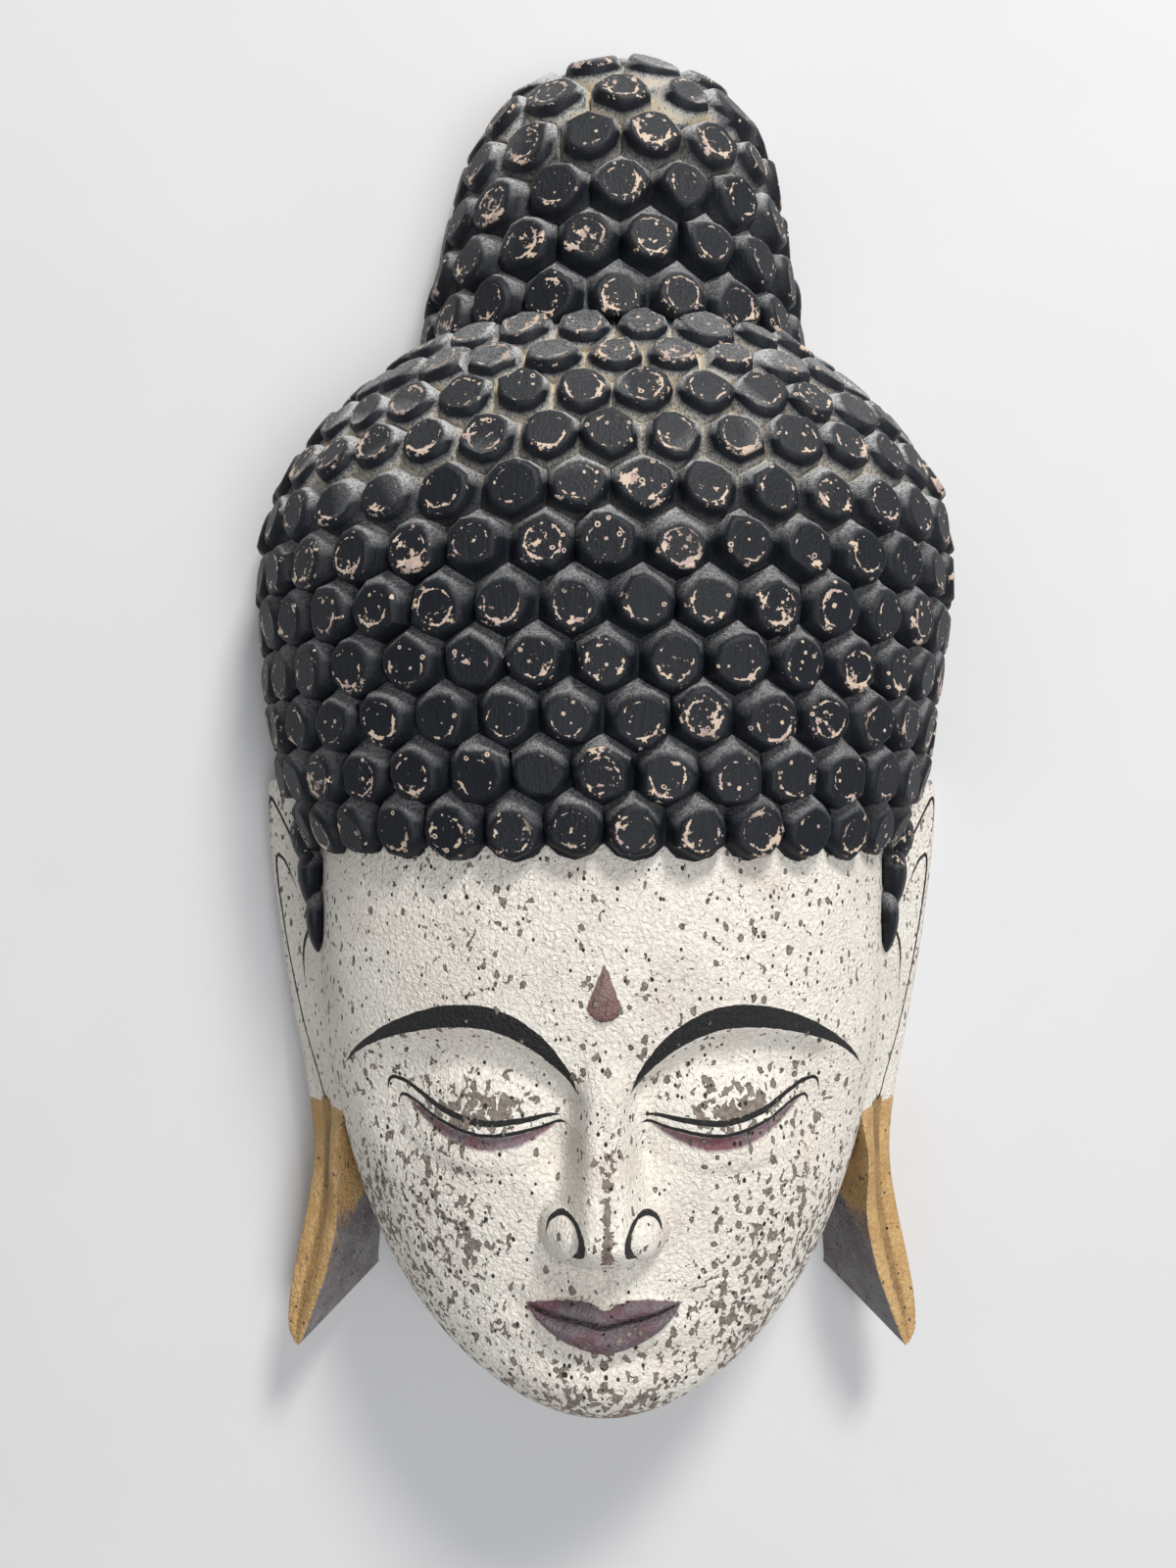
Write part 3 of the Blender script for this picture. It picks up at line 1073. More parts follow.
@dataclass
class Hair:
    """The cap of snail curls with its topknot.

    Curls stand on a lattice of rows around the head. Each has a cell of the surface to itself,
    and Geometry Nodes raise a flat-topped boss on every cell.
    """

    curl_pitch: float = 0.0235
    row_pitch: float = 0.0223
    most_around: int = 36
    knot_curl_pitch: float = 0.0258
    knot_row_pitch: float = 0.0240
    rise: float = 0.0085
    valley_depth: float = -0.0014
    droop: float = 0.0016
    wobble_share: float = 0.10
    squareness: float = 2.25
    knot_lean: float = 9.0
    lean_start: float = 300.0
    edge_steps: int = 2
    tilt: float = 0.10
    width_varies: float = 0.045
    rise_varies: float = 0.06
    knife_varies: float = 0.42
    knife_scale: float = 150.0
    widest: float = 0.985
    hub_rise: float = 12.0
    seed: int = 11
    skull: tuple = (
        (212, 126, 127), (240, 129.5, 129), (270, 142, 132), (318, 149, 135), (360, 152.5, 134),
        (394, 146, 127), (423, 127, 114), (439, 109, 102.5), (451, 94, 93), (458, 83.5, 86),
    )
    knot: tuple = (
        (458, 83.5, 86), (484, 79.5, 84), (520, 72.5, 78.5), (537.5, 68.5, 74.5), (558, 61, 66.5),
        (568.5, 54.5, 59), (580, 43.5, 47.5), (587.5, 29, 32), (591.5, 0, 0),
    )
    rings: tuple = (
        Ring(0.20, 0.920, 0.40), Ring(0.36, 0.860, 0.75), Ring(0.60, 0.805, 0.90), Ring(0.80, 0.745, 0.94),
        Ring(0.93, 0.680, 0.96), Ring(1.0, 0.610, 0.96), Ring(1.0, 0.570, 0.96),
    )

    def __post_init__(self) -> None:
        """Lays the lattice of curls."""
        rows = self._lay_rows()
        self.centres = np.vstack([row[0] for row in rows])
        self.outwards = np.vstack([row[1] for row in rows])
        self.shares = [row[2] for row in rows]
        self.ups = np.array([0.0, 1.0, 0.0]) - self.outwards * self.outwards[:, 1:2]
        self.ups /= np.maximum(np.linalg.norm(self.ups, axis=1), 1e-6)[:, None]
        self.starts = np.cumsum([0] + [len(row[0]) for row in rows])

    def _path(self, profile: tuple, start: float) -> tuple[Array, Array]:
        """Turns a profile into a curve in metres.

        Args:
            profile: Rows of (height, half-width, height over the back) in mask units.
            start: The height at which the way along it is 0.

        Returns:
            The curve's points, and the way along it at each.
        """
        curve = smooth_curve(profile) * UNITS[[1, 0, 2]]
        steps = np.diff(curve, axis=0)
        run = (np.hypot(steps[:, 0], steps[:, 1]) + np.hypot(steps[:, 0], steps[:, 2])) / 2
        travel = np.concatenate([[0], np.cumsum(run)])
        return curve, travel - np.interp(start * UNITS[1], curve[:, 0], travel)

    def _point(self, path: tuple[Array, Array], travel: Array, angle: Array) -> Array:
        """Finds places on the scalp.

        Args:
            path: The profile's curve and the way along it.
            travel: How far along the profile each place is.
            angle: 0 for the front, and a quarter turn for the right-hand side.

        Returns:
            A row in metres for each place.
        """
        curve, travels = path
        y, a, c = (np.interp(travel, travels, curve[:, k]) for k in range(3))
        s, o = np.sin(angle), np.cos(angle)
        power = 2 / self.squareness
        x = a * np.sign(s) * np.abs(s) ** power
        z = c * np.sign(o) * np.abs(o) ** power
        share = (y / UNITS[1] - self.lean_start) / (TALL - self.lean_start)
        lean = self.knot_lean * UNITS[0] * np.clip(share, 0, 1)
        return np.stack([x + lean, y + 0 * x, z], axis=-1)

    def _lay_row(
        self, path: tuple[Array, Array], travel: float, pitch: float, half_step: int, row: int
    ) -> tuple[Array, Array, Array]:
        """Lays one row of curls.

        Args:
            path: The profile's curve and the way along it.
            travel: How far along the profile the row lies.
            pitch: The distance between curls.
            half_step: 1 if the row is moved by half a curl.
            row: The row's number, which varies its wobble.

        Returns:
            The curls' centres, their outward directions and their shares of a turn.
        """
        fine = np.linspace(-np.pi, np.pi, 721)
        line = self._point(path, travel, fine)
        run = np.concatenate([[0], np.cumsum(np.linalg.norm(np.diff(line, axis=0), axis=1))])
        count = min(self.most_around, max(6, int(round(run[-1] / pitch))))
        number = np.arange(count)
        # A fixed scatter from the row and the curl, the same as in the solids
        noise = np.sin(12.9898 * (row + 3) + 78.233 * (number + 1)) * 43758.5453
        wobble = (noise - np.floor(noise) - 0.5) * self.wobble_share
        share = np.sort((0.5 + (number + 0.5 * half_step) / count) % 1)
        angles = np.interp((share + wobble / count) * run[-1], run, fine)
        travels = travel + np.roll(wobble, 1) * self.row_pitch
        d = 1e-4
        around = self._point(path, travels, angles + d) - self._point(path, travels, angles - d)
        along = self._point(path, travels + d, angles) - self._point(path, travels - d, angles)
        outwards = np.cross(around, along)
        outwards /= np.linalg.norm(outwards, axis=1)[:, None]
        return self._point(path, travels, angles), outwards, share

    def _lay_rows(self) -> list[tuple[Array, Array, Array]]:
        """Lays every row from one below the hairline, which only bounds the first, to the tip.

        Returns:
            The centres, outward directions and shares of a turn of each row.
        """
        skull, knot = self._path(self.skull, HAIRLINE), self._path(self.knot, self.knot[0][0])
        skull_rows = int(round(skull[1][-1] / self.row_pitch))
        step = skull[1][-1] / skull_rows
        rows = [self._lay_row(skull, (i - 0.5) * step, self.curl_pitch, i % 2, i)
                for i in range(skull_rows + 1)]
        knot_rows = int(round(knot[1][-1] / self.knot_row_pitch - 0.5))
        step = knot[1][-1] / (knot_rows + 0.5)
        for i in range(knot_rows):
            half_step = (skull_rows + 1 + i) % 2
            rows.append(self._lay_row(knot, (i + 0.5) * step, self.knot_curl_pitch, half_step, 40 + i))
        tip = self._point(knot, np.array([knot[1][-1]]), np.array([0.0]))
        rows.append((tip, np.array([[0.0, 1.0, 0.0]]), np.array([0.0])))
        return rows

    def _zip_rows(self, k: int) -> list[tuple[int, int, int]]:
        """Joins the curls of two rows with triangles.

        Args:
            k: The lower row's number.

        Returns:
            The curls at the corners of each triangle.
        """
        first, second = self.starts[k], self.starts[k + 1]
        below, above = self.shares[k], self.shares[k + 1]
        n, m = len(below), len(above)
        if m == 1:
            return [(first + i, first + (i + 1) % n, second) for i in range(n)]
        made, i, j = [], 0, 0
        while i < n or j < m:
            next_i = below[i + 1] if i + 1 < n else 1 + below[(i + 1) % n]
            next_j = above[j + 1] if j + 1 < m else 1 + above[(j + 1) % m]
            if j == m or (i < n and next_i <= next_j):
                made.append((first + i % n, first + (i + 1) % n, second + j % m))
                i += 1
            else:
                made.append((first + i % n, second + (j + 1) % m, second + j % m))
                j += 1
        return made

    def _cells(self) -> tuple[Array, list[list[int]]]:
        """Finds the cell of scalp that each curl has to itself.

        Returns:
            The valley corners, one in each triangle of curls, and each curl's ring of corners.
        """
        triangles = [t for k in range(len(self.shares) - 1) for t in self._zip_rows(k)]
        valleys, around = [], [[] for _ in self.centres]
        for number, corners in enumerate(triangles):
            corners = list(corners)
            inward = self.outwards[corners].mean(axis=0) * self.valley_depth
            valleys.append(self.centres[corners].mean(axis=0) - inward)
            for c in corners:
                around[c].append(number)
        valleys = np.array(valleys)
        rings = []
        for cell in range(self.starts[1], len(self.centres)):
            normal = self.outwards[cell]
            across = np.cross(normal, [0.0, 0.0, 1.0] if abs(normal[2]) < 0.9 else [0.0, 1.0, 0.0])
            spokes = valleys[around[cell]] - self.centres[cell]
            turn = np.argsort(np.arctan2(spokes @ np.cross(normal, across), spokes @ across))
            rings.append([around[cell][t] for t in turn])
        return valleys, rings

    def _cell_faces(self, valleys: Array, rings: list[list[int]]) -> Cells:
        """Splits the edges between cells, and rounds those on the border, which only one cell has.

        Args:
            valleys: The valley corners.
            rings: Each curl's ring of corners.

        Returns:
            All points, a many-sided face for each curl, and the border's edges.
        """
        points = [tuple(p) for p in valleys]
        owners: dict[tuple[int, int], int] = {}
        for ring in rings:
            for a, b in zip(ring, ring[1:] + ring[:1]):
                key = (min(a, b), max(a, b))
                owners[key] = owners.get(key, 0) + 1
        split: dict[tuple[int, int], list[int]] = {}
        faces, border = [], []
        for number, ring in enumerate(rings):
            centre = self.centres[self.starts[1] + number]
            face = []
            for a, b in zip(ring, ring[1:] + ring[:1]):
                key = (min(a, b), max(a, b))
                if key not in split:
                    shares = np.arange(1, self.edge_steps) / self.edge_steps
                    low, high = valleys[key[0]], valleys[key[1]]
                    between = low + (high - low) * shares[:, None]
                    if owners[key] == 1:
                        reach = (np.linalg.norm(low - centre) + np.linalg.norm(high - centre)) / 2
                        spokes = between - centre
                        between = centre + spokes * (reach / np.linalg.norm(spokes, axis=1))[:, None]
                    split[key] = list(range(len(points), len(points) + len(between)))
                    points += [tuple(p) for p in between]
                middle = split[key] if a < b else split[key][::-1]
                face += [a, *middle]
                if owners[key] == 1:
                    border += list(zip([a, *middle], [*middle, b]))
            faces.append(tuple(face))
        return points, faces, border

    def _cell_mesh(self, coats: Coats) -> bpy.types.Object:
        """Makes one many-sided face for each curl, closed by a fan to a point inside the head.

        Args:
            coats: The materials for every Coat.

        Returns:
            The closed scalp, with what its curls grow from written on its faces.
        """
        valleys, rings = self._cells()
        points, faces, border = self._cell_faces(valleys, rings)
        hub = len(points)
        points.append((0.0, (HAIRLINE + self.hub_rise) * UNITS[1], 0.0))
        faces += [(b, a, hub) for a, b in border]
        used = sorted({i for face in faces for i in face})
        place = {old: new for new, old in enumerate(used)}
        mesh = bpy.data.meshes.new("hair_cells")
        mesh.from_pydata([points[i] for i in used], [], [tuple(place[i] for i in face) for face in faces])
        for material in coats:
            mesh.materials.append(material)
        self._mark_cells(mesh, valleys, rings)
        return linked("mask_hair", mesh)

    def _mark_cells(self, mesh: bpy.types.Mesh, valleys: Array, rings: list[list[int]]) -> None:
        """Writes each cell's place, directions, reach and number, from which its curl grows.

        Args:
            mesh: The scalp, with its cells before its other faces.
            valleys: The valley corners.
            rings: Each curl's ring of corners.
        """
        count, cells = len(mesh.polygons), len(rings)
        middles, outwards, ups, reaches = *np.zeros((3, count, 3)), np.ones(count)
        middles[:cells] = self.centres[self.starts[1] :]
        outwards[:cells] = self.outwards[self.starts[1] :]
        ups[:cells] = self.ups[self.starts[1] :]
        for number, ring in enumerate(rings):
            spokes = valleys[ring] - middles[number]
            spokes = spokes - np.outer(spokes @ outwards[number], outwards[number])
            reaches[number] = np.linalg.norm(spokes, axis=1).mean()
        for name, kind, key, values in (
            ("centre", "FLOAT_VECTOR", "vector", middles),
            ("outward", "FLOAT_VECTOR", "vector", outwards),
            ("up", "FLOAT_VECTOR", "vector", ups),
            ("reach", "FLOAT", "value", reaches),
            ("number", "INT", "value", np.arange(count)),
            ("is_cell", "BOOLEAN", "value", np.arange(count) < cells),
        ):
            mesh.attributes.new(name, kind, "FACE").data.foreach_set(key, np.ravel(values))

    def _ring_group(self) -> bpy.types.NodeTree:
        """Makes a node group that raises every chosen face by one ring of the curl's profile.

        Returns:
            The group.
        """
        floats = dict.fromkeys(("Level", "Spread", "Roundness", "Rise", "Droop", "Tilt"), "Float")
        tree = node_tree("Raise Ring", {"Geometry": "Geometry", "Selection": "Bool", **floats, "Seed": "Int"},
                         {"Geometry": "Geometry", "Top": "Bool"})
        g = Graph(tree)
        given = g.add("NodeGroupInput").node.outputs
        raised = g.add("GeometryNodeExtrudeMesh", {"Mesh": given["Geometry"], "Selection": given["Selection"],
                                                   "Offset Scale": 0.0, "Individual": True}, mode="FACES")
        top = raised.node.outputs["Top"]
        kinds = dict.fromkeys(("valley", "centre", "outward", "up"), "FLOAT_VECTOR")
        named = {name: g.add("GeometryNodeInputNamedAttribute", {"Name": name}, data_type=kind)
                 for name, kind in {**kinds, "reach": "FLOAT", "number": "INT"}.items()}
        luck = g.add("FunctionNodeRandomValue", {0: (-1, -1, -1), 1: (1, 1, 1), "ID": named["number"],
                                                 "Seed": given["Seed"]}, data_type="FLOAT_VECTOR")
        spoke = g.add("ShaderNodeVectorMath", {0: named["valley"], 1: named["centre"]}, operation="SUBTRACT")
        along = g.add("ShaderNodeVectorMath", {0: spoke, 1: named["outward"]}, "Value",
                      operation="DOT_PRODUCT")
        drop = g.add("ShaderNodeVectorMath", {0: named["outward"], "Scale": along}, operation="SCALE")
        flat = g.add("ShaderNodeVectorMath", {0: spoke, 1: drop}, operation="SUBTRACT")
        way = g.add("ShaderNodeVectorMath", {0: flat}, operation="NORMALIZE")
        circle = g.add("ShaderNodeVectorMath", {0: way, "Scale": named["reach"]}, operation="SCALE")
        outline = g.add("ShaderNodeMix", {0: given["Roundness"], 4: flat, 5: circle}, 1, data_type="VECTOR")
        lucks = g.add("ShaderNodeSeparateXYZ", {"Vector": luck}).node.outputs
        vary = g.add("ShaderNodeMath", {0: lucks["X"], 1: self.width_varies, 2: 1.0},
                     operation="MULTIPLY_ADD")
        knife = g.add("ShaderNodeTexNoise", {"Vector": named["valley"], "Scale": self.knife_scale,
                                             "Detail": 0.0})
        knife = g.add("ShaderNodeMath", {0: knife, 1: 0.5}, operation="SUBTRACT")
        knife = g.add("ShaderNodeMath", {0: knife, 1: given["Roundness"]}, operation="MULTIPLY")
        vary = g.add("ShaderNodeMath", {0: knife, 1: self.knife_varies, 2: vary}, operation="MULTIPLY_ADD")
        spread = g.add("ShaderNodeMath", {0: given["Spread"], 1: vary}, operation="MULTIPLY")
        spread = g.add("ShaderNodeMath", {0: spread, 1: self.widest}, operation="MINIMUM")
        reach = g.add("ShaderNodeVectorMath", {0: outline, "Scale": spread}, operation="SCALE")
        lean = g.add("ShaderNodeVectorMath", {0: reach, 1: luck}, "Value", operation="DOT_PRODUCT")
        lean = g.add("ShaderNodeMath", {0: lean, 1: given["Tilt"]}, operation="MULTIPLY")
        tall = g.add("ShaderNodeMath", {0: lucks["Z"], 1: self.rise_varies, 2: 1.0}, operation="MULTIPLY_ADD")
        tall = g.add("ShaderNodeMath", {0: given["Rise"], 1: tall}, operation="MULTIPLY")
        tall = g.add("ShaderNodeMath", {0: tall, 1: lean}, operation="ADD")
        tall = g.add("ShaderNodeMath", {0: tall, 1: given["Level"]}, operation="MULTIPLY")
        lift = g.add("ShaderNodeVectorMath", {0: named["outward"], "Scale": tall}, operation="SCALE")
        place = g.add("ShaderNodeVectorMath", {0: named["centre"], 1: reach}, operation="ADD")
        place = g.add("ShaderNodeVectorMath", {0: place, 1: lift}, operation="ADD")
        sag = g.add("ShaderNodeMath", {0: given["Droop"], 1: given["Level"]}, operation="MULTIPLY")
        sag = g.add("ShaderNodeVectorMath", {0: named["up"], "Scale": sag}, operation="SCALE")
        place = g.add("ShaderNodeVectorMath", {0: place, 1: sag}, operation="SUBTRACT")
        moved = g.add("GeometryNodeSetPosition", {"Geometry": raised, "Selection": top, "Position": place})
        g.add("NodeGroupOutput", {"Geometry": moved, "Top": top})
        return tree

    def _curl_tree(self, material: bpy.types.Material) -> bpy.types.NodeTree:
        """Makes the tree that grows a curl on every cell: one Raise Ring after another.

        Args:
            material: What the curls wear.

        Returns:
            The tree.
        """
        ring_group = self._ring_group()
        tree = node_tree("Snail Curls", {"Geometry": "Geometry", "Rise": "Float", "Droop": "Float",
                                         "Tilt": "Float", "Seed": "Int"}, {"Geometry": "Geometry"})
        g = Graph(tree)
        given = g.add("NodeGroupInput").node.outputs
        position = g.add("GeometryNodeInputPosition")
        shape = g.add("GeometryNodeStoreNamedAttribute", {"Geometry": given["Geometry"], "Name": "valley",
                                                          "Value": position}, data_type="FLOAT_VECTOR")
        top = g.add("GeometryNodeInputNamedAttribute", {"Name": "is_cell"}, data_type="BOOLEAN")
        for ring in self.rings:
            shape = g.add("GeometryNodeGroup", {
                "Geometry": shape, "Selection": top, "Level": ring.level, "Spread": ring.spread,
                "Roundness": ring.roundness, "Rise": given["Rise"], "Droop": given["Droop"],
                "Tilt": given["Tilt"], "Seed": given["Seed"],
            }, node_tree=ring_group)
            top = shape.node.outputs["Top"]
        shape = g.add("GeometryNodeRealizeInstances", {"Geometry": shape})
        shape = g.add("GeometryNodeSetMaterial", {"Geometry": shape, "Material": material})
        g.add("NodeGroupOutput", {"Geometry": shape})
        return tree

    def build(self, coats: Coats) -> bpy.types.Object:
        """Grows the curls.

        Args:
            coats: The materials for every Coat.

        Returns:
            The whole cap of hair, closed below.
        """
        obj = self._cell_mesh(coats)
        tree = self._curl_tree(coats[Coat.PAINT.value])
        grown = obj.modifiers.new("curls", "NODES")
        grown.node_group = tree
        wanted = {"Rise": self.rise, "Droop": self.droop, "Tilt": self.tilt, "Seed": self.seed}
        for socket in tree.interface.items_tree:
            if socket.in_out == "INPUT" and socket.name in wanted:
                grown[socket.identifier] = wanted[socket.name]
        settle(obj)
        for name in ("centre", "outward", "up", "reach", "number", "is_cell", "valley"):
            obj.data.attributes.remove(obj.data.attributes[name])
        shape = bmesh.new()
        shape.from_mesh(obj.data)
        turn_outwards(shape)
        shape.to_mesh(obj.data)
        shape.free()
        return obj

    def dress(self, mesh: bpy.types.Mesh) -> None:
        """Writes each point's place on its own curl, and a chance that is the same all over it.

        Args:
            mesh: The finished hair, still in the carving's own place.
        """
        outwards, ups = self.outwards[self.starts[1] :], self.ups[self.starts[1] :]
        seeds = self.centres[self.starts[1] :] - ups * self.droop
        tree = KDTree(len(seeds))
        for number, (seed, outward) in enumerate(zip(seeds, outwards)):
            tree.insert(seed + outward * self.rise * 0.6, number)
        tree.balance()
        places = mask_places(mesh) * UNITS
        nearest = np.array([tree.find(place)[1] for place in places])
        spokes, normals, ups = places - seeds[nearest], outwards[nearest], ups[nearest]
        rights = np.cross(ups, normals)
        right, up, rise = ((spokes * axis).sum(axis=1) for axis in (rights, ups, normals))
        level = np.where(np.hypot(right, up) < 0.62 * self.curl_pitch, rise / self.rise, 0.5)
        store(mesh, "curl", np.column_stack([right / MM, up / MM, level]))
        chances = np.random.default_rng(self.seed).random(len(seeds))
        store(mesh, "chance", chances[nearest])
        store(mesh, "lift", normals[:, 1])


@dataclass
class Ear:
    """One slanting ear with its long free lobe, lofted through stations from top to tip.

    Each station is (front height, outer front x, outer front z, inner front x, inner front z,
    outer back x, inner back x, how far the back is above the front), in mask units.
    """

    side: Side
    between: int = 8
    front_steps: int = 15
    lobe_top: float = 123.0
    scoop_depth: float = 1.1
    groove_depth: float = 1.7
    edge_depth: float = 1.3
    stations: tuple = (
        (268, 155, 16, 150, 27, 152, 122, 0), (262, 157, 16, 139, 38, 152, 112, 0),
        (240, 156, 17, 120, 53, 148, 100, 0), (200, 151, 18, 116, 61, 143, 96, 0),
        (160, 144, 20, 115, 62, 136, 93, 0), (128, 137, 24, 114, 56, 128, 92, 0),
        (100, 133, 28, 119, 51, 122, 94, 2), (75, 135.5, 31, 119, 47, 118, 99, 8),
        (52, 140, 33, 123, 46, 117, 102, 15), (34, 143, 34, 129, 45, 116, 103, 21),
        (20, 143, 35, 134, 42, 113, 103, 24), (13, 139.5, 36, 137, 40, 109, 102, 28),
    )

    @property
    def name(self) -> str:
        """The piece's name."""
        return f"mask_ear_{self.side.name.lower()}"

    def build(self, coats: Coats) -> bpy.types.Object:
        """Makes the whole ear, with its root still buried in the head.

        Args:
            coats: The materials for every Coat.

        Returns:
            The closed ear.
        """
        points = []
        share = np.linspace(0, 1, self.front_steps)
        for y, xo, zo, xi, zi, xbo, xbi, lift in smooth_curve(self.stations, self.between):
            thin = min(1.0, (xo - xi) / 14)
            groove = np.exp(-(((share - 0.5) / 0.17) ** 2)) * float(1 - smooth_step(112, 128, np.array(y)))
            scoop = self.scoop_depth * np.sin(np.pi * share) + self.groove_depth * groove
            edge = np.clip(1 - share / 0.10, 0, 1) ** 2 + np.clip(1 - (1 - share) / 0.10, 0, 1) ** 2
            sunk = (scoop + self.edge_depth * edge) * thin
            front_x = xo + (xi - xo) * share - sunk * 0.8
            front_z = zo + (zi - zo) * share - sunk * 0.5
            front = np.column_stack([front_x, np.full(len(share), y), front_z])
            inner = [(front_x[-1] + (xbi - front_x[-1]) * t, y + lift * t,
                      front_z[-1] * (1 - t) - BELOW_BACK * t) for t in (0.33, 0.67, 1.0)]
            outer = [(xbo + (front_x[0] - xbo) * t, y + lift * (1 - t),
                      -BELOW_BACK * (1 - t) + front_z[0] * t) for t in (0.0, 0.33, 0.67)]
            points.append(np.vstack([front, inner, outer]))
        count = len(points[0])
        faces = [tuple(range(count)), tuple(range((len(points) - 1) * count, len(points) * count))]
        faces += ring_faces(len(points), count)
        places = np.vstack(points) * UNITS * np.array([self.side.value, 1, 1])
        return closed_object(self.name, places, faces, coats)

    def strokes(self) -> list[Stroke]:
        """Lists the thin scrolls on the ear, drawn over its unrolled front.

        Returns:
            The rim's line, the scroll and its leaf.
        """
        return [
            Stroke("helix", ((3.0, 247, 0.3), (2.2, 254, 0.9), (4.0, 260, 1.0), (10, 254, 0.9),
                             (20, 240, 0.85), (29, 226, 0.7), (33, 214, 0.25))),
            Stroke("scroll", ((20, 219, 0.3), (13, 230, 0.9), (7.5, 234, 1.0), (5.0, 227, 0.95),
                              (6.0, 205, 0.9), (8.0, 180, 0.85), (12, 152, 0.85), (15, 136, 0.85),
                              (18, 124, 0.7), (22, 128, 0.25))),
            Stroke("leaf", ((36, 206, 0.3), (29, 201, 0.9), (23, 194, 1.2), (20, 185, 0.8), (19, 174, 0.25))),
        ]

    def dress(self, mesh: bpy.types.Mesh) -> None:
        """Writes the scrolls, the ochre lobe, its groove and the bare primer on its inner side.

        Args:
            mesh: The finished ear, still in the carving's own place.
        """
        x, y, z = mask_places(mesh).T
        x = x * self.side.value
        line = smooth_curve(self.stations, self.between)[::-1]
        xo, zo, xi, zi = (np.interp(y, line[:, 0], line[:, k]) for k in (1, 2, 3, 4))
        wide = np.hypot(xi - xo, zi - zo)
        across = ((x - xo) * (xi - xo) + (z - zo) * (zi - zo)) / wide
        sunk = ((x - xo) * (zi - zo) - (z - zo) * (xi - xo)) / wide
        front = 3.4 - np.abs(sunk) - np.clip(across - wide, 0, None) - np.clip(-across, 0, None)
        for stroke in self.strokes():
            field = stroke.field(across, y)
            field[:, 1] = np.where(front > 0, field[:, 1], -5.0)
            store(mesh, stroke.name, field)
        lobe = self.lobe_top - y
        store(mesh, "lobe", lobe)
        store(mesh, "groove", np.where(lobe > -4, wide * 0.15 - np.abs(across - wide / 2), -5.0))
        inner = np.maximum(across - wide + 0.4, np.where(sunk > 3.2, sunk - 3.2, -9.0))
        behind = np.where(z < zo - 2, np.minimum(zo - 2 - z, across + 1.0), -9.0)
        store(mesh, "primer", np.minimum(lobe, np.maximum(inner, behind)))
        base = 0.30 + 0.25 * smooth_step(150, 220, y)
        store(mesh, "wear", np.where(lobe > 0, 0.10, base))


@dataclass
class SideLocks:
    """The small drops of hair in front of each ear.

    Each is (height, distance from the middle, height over the back, half-width, half-height), in
    mask units.
    """

    around: int = 28
    up: int = 20
    half_depth: float = 17.0
    taper: float = 0.28
    locks: tuple = ((241, 131, 36, 9.5, 13), (224, 129.5, 40, 6.6, 15), (205, 126.5, 42, 5.4, 15))

    def build(self, coats: Coats) -> list[bpy.types.Object]:
        """Makes every lock on both sides.

        Args:
            coats: The materials for every Coat.

        Returns:
            The locks, each a closed drop that tapers downwards.
        """
        turns = np.arange(self.around) * 2 * np.pi / self.around
        turn, rise = np.meshgrid(turns, np.linspace(-1, 1, self.up + 1))
        level = np.sqrt(np.clip(1 - rise**2, 0, 1)) * (1 + self.taper * rise)
        faces = ring_faces(self.up + 1, self.around)
        made = []
        for side in Side:
            for number, (y, x, z, half, tall) in enumerate(self.locks):
                wide, deep = level * np.cos(turn) * half, level * np.sin(turn) * self.half_depth
                ball = np.stack([wide, rise * tall, deep], axis=-1)
                places = (ball.reshape(-1, 3) + (x, y, z)) * UNITS * np.array([side.value, 1, 1])
                made.append(closed_object(f"lock_{side.name.lower()}_{number}", places, faces, coats))
        return made


